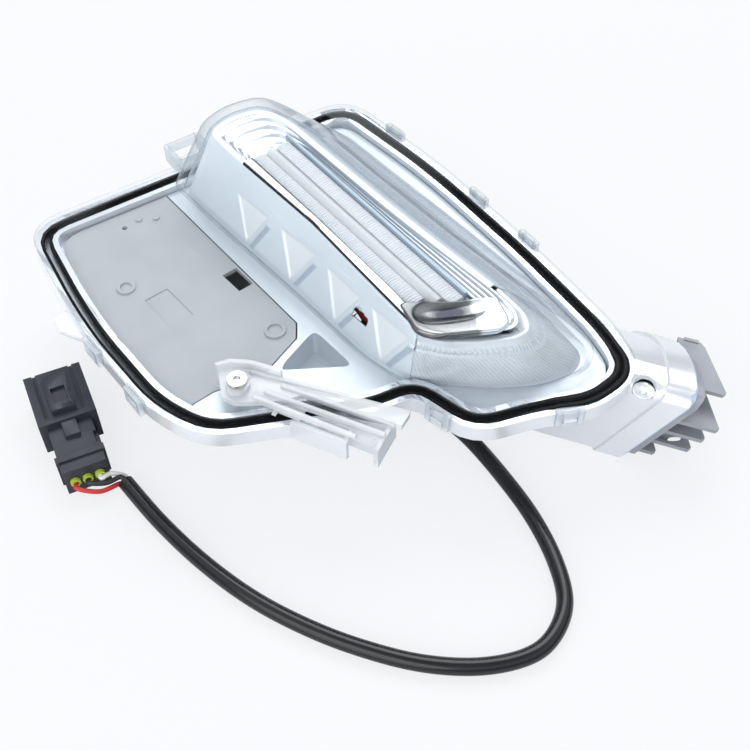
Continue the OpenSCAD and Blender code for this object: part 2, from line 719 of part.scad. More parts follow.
module sink_gasket() {
    color("lightblue") placed() difference() {
        end_slice(0, gasket_t, 0, 0);
        end_slice(-1, gasket_t + 1, -wall - 2, wall + 2);
        for (s = screw_at)
            end_frame() translate([-1, s.x, s.y]) rotate([0, 90, 0])
                cylinder(h = 9, d = screw_d + 0.4);
    }
}
module sink_screws() {
    color("slategray") placed() for (s = screw_at)
        end_frame() translate([0, s.x, s.y]) rotate([0, 90, 0]) {
            translate([0, 0, -8]) cylinder(h = 8 + base_x, d = screw_d - 0.6);
            translate([0, 0, base_x]) difference() {
                cylinder(h = 2.2, d = screw_head);
                translate([0, 0, 1]) cylinder(h = 2, d = 2.4);
            }
        }
}

// The ribbed clear bracket that stands on the deck's front corner
module front_bracket() {
    color("honeydew") placed() difference() {
        union() {
            slab(deck_h, plate_t) polygon([[-38, -46], [-36.5, -41.5], [-31, -36],
                [24, -3.2], [26.5, -9.5], [-8, -27], [-11, -36], [-22, -50],
                [-27, -52]]);
            translate([eye_at.x, eye_at.y, deck_h]) cylinder(h = 5.5, d = eye_d + 5);
            bracket_wall();
            bracket_ribs();
        }
        translate([eye_at.x, eye_at.y, 0]) cylinder(h = 100, d = eye_d);
        slab(0, deck_h) polygon(seal_at(lip + 0.4));
    }
}
module bracket_wall() {
    slab(deck_h, plate_t + 3.5) polygon([[-38, -46], [-36.5, -41.5], [-31, -36],
        [-20, -29.5], [-21, -28], [-32, -34.5], [-38, -40.5], [-39.6, -46]]);
}
module bracket_ribs() {
    translate([rib_from.x, rib_from.y, 0]) rotate([0, 0, rib_a]) {
        for (i = [0 : rib_n - 1])
            translate([i == 2 ? 2 : 5, -i * rib_pitch - rib_t, deck_h - rib_h])
                cube([rib_l - 5 - (i == 2 ? rib_short : 0), rib_t,
                    rib_h + (i == 0 ? 0.5 : 0)]);
        translate([rib_l - 1.8, -2 * rib_pitch, deck_h - rib_h])
            cube([rib_t, 2 * rib_pitch + 3, rib_h + 0.5]);
        translate([2, -2 * rib_pitch - rib_t, deck_h - rib_h])
            cube([rib_t, 2 * rib_pitch + rib_t, rib_h + 0.5]);
        translate([rib_l - rib_short - 5, -2 * rib_pitch - rib_t, deck_h - 2.2])
            cube([rib_t, rib_pitch + rib_t, 2.2]);
        translate([4, -2 * rib_pitch, deck_h - 3]) cube([9, 2 * rib_pitch, 3.5]);
    }
}
module bracket_screw() {
    color("silver") placed() translate([eye_at.x, eye_at.y, deck_h]) {
        cylinder(h = 5.5, d = eye_d - 0.6);
        translate([0, 0, 5.5]) difference() {
            cylinder(h = 2, d = eye_d + 3.6);
            translate([0, 0, 0.9]) cylinder(h = 2, d = 2.6);
        }
    }
}

// The breather under the window's tub
module vent_cap() {
    color("black") placed() translate([-90, 34, tub_z - 7]) difference() {
        cylinder(h = 7, d = 12);
        translate([0, 0, -1]) cylinder(h = 5, d = 9);
    }
}

module harness_red() {
    color("red") placed() tube(red_loop, wire_d, 8, 2);
}
module harness_black() {
    color("black") placed() tube(black_loop, wire_d, 8, 2);
}
module cable_sheath() {
    color("black") placed() tube(cord_route, cord_d, 10, 2);
}
module wire_white() {
    color("white") placed() tube(white_route, wire_d, 8, 2);
}
module wire_black() {
    color("black") placed() tube(black_route, wire_d, 8, 2);
}
module wire_red() {
    color("red") placed() tube(red_route, wire_d, 8, 2);
}

// The connector lies on the rest plane: X runs from its wire end to its open end
rear_l = 24;
rear_w = 18;
rear_h = 14;
module in_connector() {
    translate([conn_at.x, conn_at.y, 0]) rotate([0, 0, conn_a]) children();
}
module at_pins(x) {
    for (i = [-1 : 1])
        translate([x, i * pin_pitch, pin_z]) rotate([0, 90, 0]) children();
}
module connector_body() {
    color([0.12, 0.13, 0.17]) placed() in_connector() difference() {
        union() {
            translate([0, -rear_w / 2, 0]) cube([rear_l + 1, rear_w, rear_h]);
            translate([5, -rear_w / 2 - 1, 0]) cube([3, rear_w + 2, rear_h + 1]);
            translate([rear_l, -conn_w / 2, 0])
                cube([conn_l - rear_l, conn_w, conn_h]);
            translate([rear_l + 4, -5, conn_h - 0.5])
                cube([conn_l - rear_l - 8, 10, 3]);
            translate([rear_l - 8, -3, rear_h - 0.5]) cube([9, 6, 2.5]);
        }
        translate([rear_l + 6, -conn_w / 2 + conn_wall, conn_wall])
            cube([conn_l, conn_w - 2 * conn_wall, conn_h - 2 * conn_wall]);
        at_pins(-1) cylinder(h = 8, d = wire_d + 2.2);
        at_pins(6) cylinder(h = rear_l + 2, d = 2.4);
        for (y = [-8.5, 7])
            translate([rear_l + 3, y, conn_h - 0.8]) cube([conn_l, 1.5, 2]);
        translate([rear_l - 2, -rear_w / 2 - 1, 3]) cube([2.5, 3, 8]);
        translate([rear_l + 8, -3, conn_h + 1]) cube([8, 6, 3]);
        translate([10, -rear_w / 2 - 0.01, -1]) cube([6, 1.2, rear_h + 3]);
    }
}
// The lock that holds the terminals, pushed in from the side
module connector_lock() {
    color("dimgray") placed() in_connector()
        translate([10.2, -rear_w / 2 - 0.6, 2]) cube([5.6, 1.79, rear_h - 4]);
}
module wire_seals() {
    color("yellowgreen") placed() in_connector() at_pins(-1.5) difference() {
        union() {
            cylinder(h = 6, d = wire_d + 2);
            for (x = [0.2, 1.6])
                translate([0, 0, x]) cylinder(h = 0.8, d = wire_d + 2.1);
        }
        translate([0, 0, -1]) cylinder(h = 9, d = wire_d + 0.3);
    }
}
module terminals() {
    color("goldenrod") placed() in_connector() at_pins(6.5) cylinder(h = rear_l + 8, d = 2.2);
}

outer_lens();
rear_housing();
seal_bead();
inner_bezel();
deck_surround();
fan_lens();
cover_plate();
driver_board();
board_chips();
chrome_trim();
optic_tray();
flute_front();
flute_back();
light_guide();
led_board();
leds();
heat_sink();
sink_gasket();
sink_screws();
front_bracket();
bracket_screw();
vent_cap();
cable_grommet();
harness_red();
harness_black();
cable_sheath();
wire_white();
wire_black();
wire_red();
wire_seals();
connector_body();
connector_lock();
terminals();
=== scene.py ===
"""Looks of a car daytime running light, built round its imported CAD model.

Lengths are millimetres in the drawing's own plan, where X runs along the window and Z is square
to the lens deck. row() turns them into metres in the row frame.
"""

import json
import logging
from dataclasses import dataclass
from enum import Enum
from math import radians
from typing import Callable, Iterable, Sequence

import bmesh
import bpy
import numpy as np
from mathutils import Matrix, Vector

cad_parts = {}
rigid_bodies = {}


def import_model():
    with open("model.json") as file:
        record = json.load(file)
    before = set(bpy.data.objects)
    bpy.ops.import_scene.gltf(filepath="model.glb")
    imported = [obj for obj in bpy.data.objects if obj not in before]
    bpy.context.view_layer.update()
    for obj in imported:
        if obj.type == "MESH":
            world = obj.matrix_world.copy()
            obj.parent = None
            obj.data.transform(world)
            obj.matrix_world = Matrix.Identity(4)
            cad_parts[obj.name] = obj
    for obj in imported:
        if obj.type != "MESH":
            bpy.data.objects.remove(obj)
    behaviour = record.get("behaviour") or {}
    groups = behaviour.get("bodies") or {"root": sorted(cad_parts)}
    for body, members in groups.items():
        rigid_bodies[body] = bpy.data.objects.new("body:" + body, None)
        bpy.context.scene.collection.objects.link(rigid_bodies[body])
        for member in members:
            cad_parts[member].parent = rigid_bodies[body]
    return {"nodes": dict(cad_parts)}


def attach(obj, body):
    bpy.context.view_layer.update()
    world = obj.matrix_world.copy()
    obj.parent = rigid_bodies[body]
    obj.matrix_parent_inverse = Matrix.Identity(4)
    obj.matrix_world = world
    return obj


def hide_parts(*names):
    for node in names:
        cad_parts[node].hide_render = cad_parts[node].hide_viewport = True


Array = np.ndarray
Socket = bpy.types.NodeSocket
Colour = tuple[float, float, float]
log = logging.getLogger("running_light")

# A millimetre in metres, the row frame's origin in plan, and the lens deck's top
MM = 0.001
MIDDLE = (-37.2, 22.34)
DECK = 50.0
# The lens's wall, the sealant's channel, the rim's reach from the seal line, and its brim
LENS_T = 2.4
CHANNEL_W = 5.0
CHANNEL_D = 5.0
WALL = 2.4
LIP = CHANNEL_W / 2 + WALL
BRIM = DECK - LENS_T - CHANNEL_D
# The window's top edge: its rise over the deck at X = 0, its fall along X, and its crown
RISE = 24.5
TILT = 0.07
CROWN = 2.8
# The bezel: how far it lies inside the window's skin, its base, the ledge on which its wall
# stands, the bound in Y of its front wall, and the optics floor below the window's edge
BEZEL_IN = LENS_T + 1.0
BEZEL_T = 2.0
LEDGE = BRIM + BEZEL_T
FRONT_Y = 14
FLOOR_DROP = 9.0
# Spans round a corner, the distance between points along a wall and along a fluted strip,
# the metres under which points are joined, and the degrees from which an edge stays crisp
STEPS = 9
WALL_STEP = 0.45
FLUTE_STEP = 0.16
WELD = 1e-6
SHARP = 35.0

# Outlines: the corners in plan, each with the reach of its rounding
SEAL_LINE = np.array([
    [-156, -58, 12], [-113, -66, 12], [-88, -69, 10], [-45, -70, 12], [-22, -62, 10],
    [-12, -44, 8], [8, -8, 7], [12, 10, 8], [40, 15, 9], [50, 40, 10], [60, 56, 8],
    [60, 78, 10.5], [38, 86, 8], [-16, 94, 20], [-80, 99.5, 20], [-139, 98, 12]], float)
WINDOW_FOOT = np.array([
    [-146, 3, 7], [-108, 2.5, 12], [-60, 3, 12], [-10, 2.5, 8], [8, 6, 6], [22, 18, 7],
    [36, 32, 7], [46, 47, 7], [50, 65, 7], [44, 76, 6], [14, 81, 10], [-44, 83, 20],
    [-124, 84, 8], [-141, 68, 8], [-148, 30, 12]], float)
BEZEL_FOOT = np.vstack([WINDOW_FOOT[:13], [[-138.6, 66, 8], [-144, 30, 12]]])
WINDOW_EDGE = np.array([
    [-132, 12, 7], [-108, 12, 10], [-60, 13.5, 12], [-10, 11, 7], [6, 10.5, 5], [17, 16, 6],
    [27, 29, 6], [34, 42, 5], [33, 51, 4.5], [24, 56.5, 4.5], [10, 57, 8], [-44, 53.5, 20],
    [-116, 52, 8], [-132, 46, 7], [-136, 28, 9]], float)

# A block's corners: which end of X, of Y and of Z each has
BARS = np.array([[(i >> k) & 1 for k in range(3)] for i in range(8)])

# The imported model's objects by CAD node, and the materials made so far
NODE_OBJECT: dict[str, str] = {}
MADE: dict[str, bpy.types.Material] = {}


# Points

def spots(x: Array | float, y: Array | float, z: Array | float) -> Array:
    """Points from their three coordinates, spread over one common grid."""
    return np.stack(np.broadcast_arrays(x, y, z), axis=-1).astype(float)


def row(points: Array) -> Array:
    """The drawing's millimetres as metres in the row frame."""
    moved = np.array(points, float)
    moved[..., 0] -= MIDDLE[0]
    moved[..., 1] -= MIDDLE[1]
    return moved * MM


def unit(vectors: Array) -> Array:
    """Vectors divided by their own lengths."""
    return vectors / np.maximum(np.linalg.norm(vectors, axis=-1, keepdims=True), 1e-12)


def ramp(values: Array, start: float, span: float) -> Array:
    """0 up to start, then a straight climb to 1 over the span."""
    return np.clip((values - start) / span, 0, 1)


def soft_step(t: Array) -> Array:
    """The curve 3t^2 - 2t^3, level at both ends."""
    return t ** 2 * (3 - 2 * t)


def eased(corners: Array) -> Array:
    """A closed outline with its corners rounded.

    Round a corner b the curve is s(1-t)^2 + 2bt(1-t) + et^2, where s and e lie k before and
    after b, and k is at most 0.47 of either side.

    Args:
        corners: rows of x, y and k.

    Returns:
        (corners * (STEPS + 1), 2) points.
    """
    b = corners[:, :2]
    a, c = np.roll(b, 1, axis=0), np.roll(b, -1, axis=0)
    reach = np.minimum(np.linalg.norm(a - b, axis=1), np.linalg.norm(c - b, axis=1)) * 0.47
    k = np.minimum(corners[:, 2], reach)[:, None]
    s, e = (b + unit(a - b) * k)[:, None], (b + unit(c - b) * k)[:, None]
    t = np.linspace(0, 1, STEPS + 1)[None, :, None]
    return (s * (1 - t) ** 2 + 2 * b[:, None] * t * (1 - t) + e * t ** 2).reshape(-1, 2)


def grown(points: Array, distance: float) -> Array:
    """A closed outline moved outward along the bisector of each corner.

    Args:
        points: (n, 2) points in anticlockwise order.
        distance: how far; inward if negative.

    Returns:
        (n, 2) points.
    """
    u = unit(points - np.roll(points, 1, axis=0))
    v = unit(np.roll(points, -1, axis=0) - points)
    nu, nv = (np.stack([side[:, 1], -side[:, 0]], axis=1) for side in (u, v))
    scale = distance / np.maximum(1 + np.sum(nu * nv, axis=1), 0.3)
    return points + scale[:, None] * (nu + nv)


def inset(corners: Array, distance: float) -> Array:
    """An outline's corners moved inward by a distance, then rounded."""
    moved = grown(corners[:, :2], -distance)
    return eased(np.column_stack([moved, corners[:, 2]]))


def runs(points: Array) -> Array:
    """Each point's distance from the first one, along the line."""
    return np.concatenate([[0], np.cumsum(np.linalg.norm(np.diff(points, axis=0), axis=1))])


def at_runs(points: Array, at: Array, run: Array) -> Array:
    """Points at the distances `at`, along a line whose points lie at the distances run."""
    return np.stack([np.interp(at, run, part) for part in points.T], axis=1)


def evenly(points: Array, count: int) -> Array:
    """Points spaced evenly along a closed outline, by its arc length."""
    closed = np.vstack([points, points[:1]])
    run = runs(closed)
    return at_runs(closed, np.linspace(0, run[-1], count, endpoint=False), run)


def edge_z(x: Array) -> Array:
    """Height of the window's top edge, which falls steadily along X."""
    return DECK + RISE - TILT * x


def at_height(points: Array, z: float | Array) -> Array:
    """Plan points with a height, given as one number or one for each point."""
    return spots(points[:, 0], points[:, 1], z)


def foot_ring(corners: Array, distance: float, z: float) -> Array:
    """A ring on the window's foot, set in by a distance, at one height."""
    return at_height(inset(corners, distance), z)


def edge_ring(distance: float, up: float) -> Array:
    """A ring on the window's top edge, set in by a distance and raised by up."""
    plan = inset(WINDOW_EDGE, distance)
    return at_height(plan, edge_z(plan[:, 0]) + up)


def turned(points: Array, degrees: float) -> Array:
    """Points turned about Z."""
    c, s = np.cos(radians(degrees)), np.sin(radians(degrees))
    x, y = points[..., 0], points[..., 1]
    return spots(x * c - y * s, x * s + y * c, points[..., 2])


def on_window_plane(points: Array) -> Array:
    """Points drawn over the window's tilted edge plane, set where that plane is.

    The plane turns about Y by the arctangent a of the tilt, so x' = x cos a + z sin a and
    z' = z cos a - x sin a + 74.5.
    """
    a = np.arctan(TILT)
    x, z = points[..., 0], points[..., 2]
    return spots(x * np.cos(a) + z * np.sin(a), points[..., 1],
                 z * np.cos(a) - x * np.sin(a) + DECK + RISE)


def wandering(count: int, seed: int, spans: Sequence[int]) -> Array:
    """A smooth closed random line of values about 0, from a few sine waves."""
    rng = np.random.default_rng(seed)
    t = np.linspace(0, 2 * np.pi, count, endpoint=False)[:, None]
    waves = np.array(spans, float)[None, :]
    phase = rng.uniform(0, 2 * np.pi, (1, len(spans)))
    return (np.sin(t * waves + phase) / np.sqrt(waves)).sum(axis=1) / 1.5


def smooth_curve(points: Array, spans: int) -> Array:
    """A Catmull-Rom curve through points, with the given number of spans between two."""
    p = np.vstack([points[:1], points, points[-1:]])
    t = (np.arange(spans) / spans)[None, :, None]
    a, b, c, d = (p[i:len(p) - 3 + i][:, None] for i in range(4))
    curve = 0.5 * (2 * b + (c - a) * t + (2 * a - 5 * b + 4 * c - d) * t ** 2
                   + (3 * b - a - 3 * c + d) * t ** 3)
    return np.vstack([curve.reshape(-1, 3), points[-1:]])


# Meshes

def grid_faces(rows: int, columns: int, ring: bool, tube: bool) -> Array:
    """Quads of a grid of points, closed along its columns (ring) or its rows (tube)."""
    i = np.arange(rows if tube else rows - 1)[:, None]
    j = np.arange(columns if ring else columns - 1)[None, :]
    i2, j2 = (i + 1) % rows, (j + 1) % columns
    quads = [i * columns + j, i * columns + j2, i2 * columns + j2, i2 * columns + j]
    return np.stack(np.broadcast_arrays(*quads), axis=-1).reshape(-1, 4)


def healed(mesh: bpy.types.Mesh) -> bpy.types.Mesh:
    """The mesh with its double points joined and its normals made to agree."""
    made = bmesh.new()
    made.from_mesh(mesh)
    bmesh.ops.remove_doubles(made, verts=made.verts, dist=WELD)
    bmesh.ops.recalc_face_normals(made, faces=made.faces)
    made.to_mesh(mesh)
    made.free()
    return mesh


def new_mesh(points: Array, faces: Sequence[Sequence[int]]) -> bpy.types.Mesh:
    """A mesh from the drawing's points and faces."""
    mesh = bpy.data.meshes.new("shape")
    mesh.from_pydata(row(points).tolist(), [], faces)
    return healed(mesh)


def grid_mesh(grid: Array, ring: bool = False, tube: bool = False, caps: bool = False,
              open_at: Array | None = None) -> bpy.types.Mesh:
    """A mesh over a grid of points.

    Args:
        grid: (rows, columns, 3) points.
        ring: the last column joins the first.
        tube: the last row joins the first.
        caps: the first and last rows are closed by one face each, or the first and last
            columns where the rows join.
        open_at: (rows, columns) of True where the mesh is left open.

    Returns:
        The mesh.
    """
    rows, columns = grid.shape[:2]
    quads = grid_faces(rows, columns, ring, tube)
    if open_at is not None:
        quads = quads[~open_at.ravel()[quads].all(axis=1)]
    faces = quads.tolist()
    if caps and ring:
        faces += [list(range(columns)), [(rows - 1) * columns + j for j in range(columns)]]
    if caps and tube:
        faces += [[i * columns for i in range(rows)],
                  [i * columns + columns - 1 for i in range(rows)]]
    return new_mesh(grid.reshape(-1, 3), faces)


def swept(path: Array, profile: Array) -> Array:
    """A profile carried along a closed level path.

    Args:
        path: (n, 3) points of the closed path.
        profile: (n, m, 2) points: outward from the path, and up.

    Returns:
        (n, m, 3) points.
    """
    ahead = np.roll(path, -1, axis=0) - np.roll(path, 1, axis=0)
    out = unit(spots(ahead[:, 1], -ahead[:, 0], 0))
    return path[:, None] + profile[..., :1] * out[:, None] + profile[..., 1:] * [0, 0, 1]


def blocks_mesh(corners: Array) -> bpy.types.Mesh:
    """A mesh of six-sided blocks, each from 8 corners in the order of BARS."""
    sides = [[0, 2, 3, 1], [4, 5, 7, 6], [0, 1, 5, 4], [2, 6, 7, 3], [0, 4, 6, 2],
             [1, 3, 7, 5]]
    faces = np.arange(len(corners))[:, None, None] * 8 + sides
    return new_mesh(corners.reshape(-1, 3), faces.reshape(-1, 4).tolist())


def bars_mesh(bars: Array, places: Iterable[tuple[Array, float]]) -> bpy.types.Mesh:
    """Square bars, built again at each place.

    Args:
        bars: (n, 2, 3) lowest and highest corners.
        places: each place in plan, and its turn in degrees.

    Returns:
        The mesh.
    """
    corners = spots(*(bars[:, BARS[:, k], k] for k in range(3)))
    return blocks_mesh(np.concatenate([turned(corners, turn) + np.append(place, 0)
                                       for place, turn in places]))


def placed(name: str, data: bpy.types.ID) -> bpy.types.Object:
    """A new object in the scene."""
    made = bpy.data.objects.new(name, data)
    bpy.context.scene.collection.objects.link(made)
    return made


def straight_line(curve: bpy.types.Curve, points: Array) -> bpy.types.Spline:
    """Adds a line through points, in metres of the row frame, to a curve."""
    line = curve.splines.new("POLY")
    line.points.add(len(points) - 1)
    line.points.foreach_set("co", np.column_stack([points, np.ones(len(points))]).ravel())
    return line


def plate_mesh(outlines: Sequence[Array], low: float, high: float,
               edge: float) -> bpy.types.Mesh:
    """A flat plate between two heights, with holes and rounded edges.

    Args:
        outlines: closed plan outlines; those inside another are holes.
        low: the plate's underside.
        high: its top.
        edge: radius of its edges.

    Returns:
        The mesh.
    """
    curve = bpy.data.curves.new("plate", "CURVE")
    curve.dimensions = "2D"
    curve.fill_mode = "BOTH"
    curve.extrude = (high - low) / 2 * MM - edge * MM
    curve.bevel_depth = edge * MM
    curve.bevel_resolution = 2
    curve.offset = -edge * MM
    for outline in outlines:
        straight_line(curve, row(at_height(outline, 0))).use_cyclic_u = True
    holder = placed("plate", curve)
    bpy.context.view_layer.update()
    made = bpy.data.meshes.new_from_object(
        holder.evaluated_get(bpy.context.evaluated_depsgraph_get()))
    bpy.data.objects.remove(holder)
    made.transform(Matrix.Translation((0, 0, (low + high) / 2 * MM)))
    return healed(made)


def show(name: str, mesh: bpy.types.Mesh, finish: "Finish",
         nodes: Iterable[str] = (), bevel: float = 0.0, sharp: float = SHARP,
         wall: float = 0.0, shade: Callable[[Array], Array] | Array | None = None
         ) -> bpy.types.Object:
    """Puts a mesh in the scene as one piece of the lamp.

    Args:
        name: the piece's name.
        mesh: its mesh, in the row frame.
        finish: what its surface is made of.
        nodes: CAD nodes that it stands for.
        bevel: width of its rounded edges, or 0.
        sharp: edges that turn more than this many degrees stay crisp.
        wall: thickness given to an open sheet, or 0.
        shade: the surface's painted light and shade, 0 to 1, point by point, or what gives
        it at the drawing's points: below 0.5 painted shade and dark reflection, above it
        painted highlight.

    Returns:
        The piece.
    """
    if shade is not None:
        flat = np.empty(len(mesh.vertices) * 3)
        mesh.vertices.foreach_get("co", flat)
        drawn = flat.reshape(-1, 3) / MM + [MIDDLE[0], MIDDLE[1], 0]
        # The tone attribute carries the painted light and shade into the material.
        mesh.attributes.new("tone", "FLOAT", "POINT").data.foreach_set(
            "value", (shade(drawn) if callable(shade) else shade.ravel()).astype(float))
    mesh.name = name
    piece = placed(name, mesh)
    mesh.materials.clear()
    mesh.materials.append(finish.material())
    mesh.shade_smooth()
    mesh.set_sharp_from_angle(angle=radians(sharp))
    if wall:
        solid = piece.modifiers.new("wall", "SOLIDIFY")
        solid.thickness, solid.offset = wall * MM, -1
    if bevel:
        rounded = piece.modifiers.new("edges", "BEVEL")
        rounded.width, rounded.segments = bevel * MM, 2
        rounded.limit_method, rounded.angle_limit = "ANGLE", radians(sharp)
        rounded.harden_normals = True
    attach(piece, "root")
    if nodes:
        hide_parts(*nodes)
    log.info("%s: %d faces, finish %s", name, len(mesh.polygons), finish.name)
    return piece


def rounded_node(node: str, finish: "Finish", bevel: float) -> bpy.types.Object:
    """A CAD node's shape, with its edges rounded.

    Its triangles are joined, edges under 0.02 mm are closed, and faces that turn less than
    0.6 degrees become one.

    Args:
        node: the CAD node.
        finish: what its surface is made of.
        bevel: width of its rounded edges.

    Returns:
        The piece.
    """
    mesh = bpy.data.objects[NODE_OBJECT[node]].data.copy()
    joined = bmesh.new()
    joined.from_mesh(mesh)
    bmesh.ops.remove_doubles(joined, verts=joined.verts, dist=2 * WELD)
    bmesh.ops.dissolve_degenerate(joined, dist=20 * WELD, edges=joined.edges)
    bmesh.ops.dissolve_limit(joined, angle_limit=radians(0.6), verts=joined.verts,
                             edges=joined.edges)
    joined.to_mesh(mesh)
    joined.free()
    return show(node + "_shape", mesh, finish, (node,), bevel)


# Finishes

class Net:
    """A small helper that adds and links the nodes of one material."""

    def __init__(self, name: str, tree: bpy.types.NodeTree | None = None) -> None:
        """Starts an empty material, or the given tree of a world."""
        self.material = None if tree else bpy.data.materials.new(name)
        if self.material:
            self.material.use_nodes = True
        self.tree = tree or self.material.node_tree
        self.tree.nodes.clear()
        self.out = self.add("ShaderNodeOutputWorld" if tree else "ShaderNodeOutputMaterial")
        places = self.add("ShaderNodeTexCoord")
        self.place, self.spread = places.outputs["Object"], places.outputs["Generated"]

    def finish(self, shader: bpy.types.Node) -> bpy.types.Material:
        """Links a shader to the material's surface and gives the material."""
        self.tree.links.new(shader.outputs[0], self.out.inputs["Surface"])
        return self.material

    def add(self, kind: str, settings: dict[str, str] | None = None,
            **inputs: Socket | float | tuple) -> bpy.types.Node:
        """Adds a node, sets its options, and sets or links its inputs.

        Args:
            kind: the node's type.
            settings: options of the node itself.
            inputs: values or sockets by input name, with _ for a space, or by n and the
                input's number.

        Returns:
            The node.
        """
        node = self.tree.nodes.new(kind)
        for key, value in (settings or {}).items():
            setattr(node, key, value)
        for key, value in inputs.items():
            socket = node.inputs[int(key[1:]) if key[0] == "n" and key[1:].isdigit()
                                 else key.replace("_", " ")]
            if isinstance(value, Socket):
                self.tree.links.new(value, socket)
            else:
                socket.default_value = value
        return node

    def noise(self, size_mm: float, detail: float) -> Socket:
        """Noise whose grains are about size_mm across, on object coordinates."""
        return self.add("ShaderNodeTexNoise", Vector=self.place,
                        Scale=1 / (size_mm * MM), Detail=detail).outputs["Fac"]

    def maths(self, kind: str, a: Socket | float, b: Socket | float) -> Socket:
        """One operation on two values."""
        return self.add("ShaderNodeMath", {"operation": kind}, n0=a, n1=b).outputs[0]

    def between(self, factor: Socket, low: Socket | tuple, high: Socket | tuple) -> Socket:
        """Two colours mixed by a factor."""
        mix = self.add("ShaderNodeMix", {"data_type": "RGBA"}, n0=factor, n6=low, n7=high)
        return mix.outputs[2]

    def ranged(self, value: Socket, a: float, b: float, c: float, d: float) -> Socket:
        """A value carried from the span a to b to the span c to d, and held inside it."""
        return self.add("ShaderNodeMapRange", Value=value, From_Min=a, From_Max=b,
                        To_Min=c, To_Max=d).outputs[0]

    def bump(self, height: Socket, depth_mm: float) -> Socket:
        """Relief of the given depth in millimetres."""
        return self.add("ShaderNodeBump", Height=height, Distance=depth_mm * MM,
                        Strength=1.0).outputs[0]

    def mixed(self, share: Socket, a: bpy.types.Node, b: bpy.types.Node) -> bpy.types.Node:
        """Two shaders mixed by the share of the second."""
        return self.add("ShaderNodeMixShader", Fac=share, n1=a.outputs[0], n2=b.outputs[0])

    def lit(self, kind: str, colour: Colour, strength: Socket | float = 1.0
            ) -> bpy.types.Node:
        """A glowing surface or background."""
        return self.add(kind, Color=tone(colour), Strength=strength)


def tone(colour: Sequence[float], factor: float = 1.0) -> tuple[float, float, float, float]:
    """A colour, made lighter or darker, as the four numbers that Blender takes."""
    return tuple(min(c * factor, 1.0) for c in colour[:3]) + (1.0,)


@dataclass(frozen=True)
class Finish:
    """A solid surface: moulded, cast, plated or painted.

    Its roughness runs from 0.85 to 1.15 of rough. No such span may hold 0.27, because the
    renderer's denoiser leaves white specks where a roughness crosses it.

    Attributes:
        name: the material's name.
        colour: its colour.
        rough: its roughness.
        metal: 1 for metal or plating, 0 for plastic.
        coat: strength of a clear gloss over it.
        grain: size of its grain, in millimetres.
        relief: depth of its grain, in millimetres.
        mottle: how much its colour varies from place to place.
        painted_light_colours: colours at the ends of the mesh's painted light and shade, where
        it has one: the darker end paints shade and dark reflection, the lighter highlight.
        shine: how strongly it mirrors face on, 0.5 for common plastic.
    """
    name: str
    colour: Colour
    rough: float = 0.4
    metal: float = 0.0
    coat: float = 0.0
    grain: float = 1.0
    relief: float = 0.01
    mottle: float = 0.06
    painted_light_colours: tuple[Colour, ...] = ()
    shine: float = 0.5

    def with_painted_light(self, net: Net, colour: Socket) -> Socket:
        """The colour, made darker or lighter by the mesh's painted light and shade."""
        if not self.painted_light_colours:
            return colour
        # The mesh's tone attribute holds its painted light and shade: below 0.5 it darkens the
        # colour, above it lightens it.
        painted_light_at = net.add("ShaderNodeAttribute", {"attribute_name": "tone"}).outputs["Fac"]
        darker = net.between(net.ranged(painted_light_at, 0, 0.5, 0, 1), tone(self.painted_light_colours[0]), colour)
        return net.between(net.ranged(painted_light_at, 0.5, 1, 0, 1), darker, tone(self.painted_light_colours[1]))

    def material(self) -> bpy.types.Material:
        """The finish as a material, made once."""
        if self.name not in MADE:
            net = Net(self.name)
            MADE[self.name] = net.finish(self.shader(net))
        return MADE[self.name]

    def shader(self, net: Net) -> bpy.types.Node:
        """The finish's shader: colour from broad noise, roughness and relief from fine."""
        fine = net.noise(self.grain, 4.0)
        broad = net.noise(self.grain * 22, 2.0)
        colour = net.between(net.ranged(broad, 0.3, 0.7, 0.0, 1.0),
                             tone(self.colour, 1 - self.mottle),
                             tone(self.colour, 1 + self.mottle))
        colour = self.with_painted_light(net, colour)
        rough = net.ranged(fine, 0.3, 0.7, self.rough * 0.85, self.rough * 1.15)
        return net.add("ShaderNodeBsdfPrincipled", Base_Color=colour,
                       Roughness=rough, Metallic=self.metal, Coat_Weight=self.coat,
                       Coat_Roughness=0.08, Specular_IOR_Level=self.shine,
                       Normal=net.bump(fine, self.relief))


@dataclass(frozen=True)
class Clear(Finish):
    """Clear plastic, open face on and milky edge on.

    How much of it shows goes from body to rim as ((f - 0.4) / 0.6)^0.9, where f is 0 face
    on and 1 edge on.

    Attributes:
        body: how much of it shows face on.
        rim: how much of it shows edge on.
        edge: its colour where it is seen edge on, a painted dark reflection.
        tint: the colour it lets through.
    """
    body: float = 0.1
    rim: float = 0.75
    edge: Colour = (0.5, 0.57, 0.64)
    tint: Colour = (0.975, 0.988, 0.997)

    def shader(self, net: Net) -> bpy.types.Node:
        """The clear plastic's shader: a gloss mixed with an open surface."""
        fine = net.noise(self.grain, 2.0)
        facing = net.add("ShaderNodeLayerWeight", Blend=0.45).outputs["Facing"]
        steep = net.maths("POWER", net.ranged(facing, 0.4, 1.0, 0.0, 1.0), 0.9)
        shown = net.ranged(steep, 0.0, 1.0, self.body, self.rim)
        rough = net.ranged(fine, 0.3, 0.7, self.rough * 0.8, self.rough * 1.2)
        # Edge on, the colour turns to edge: a painted dark reflection outlining the plastic.
        colour = net.between(net.ranged(facing, 0.3, 0.85, 0.0, 1.0),
                             self.with_painted_light(net, net.between(fine, tone(self.colour, 0.97),
                                                         tone(self.colour, 1.03))),
                             tone(self.edge))
        gloss = net.add("ShaderNodeBsdfPrincipled", Base_Color=colour,
                        Roughness=rough, Metallic=self.metal,
                        Specular_IOR_Level=self.shine,
                        Normal=net.bump(fine, self.relief))
        open_face = net.add("ShaderNodeBsdfTransparent", Color=tone(self.tint))
        return net.mixed(shown, open_face, gloss)


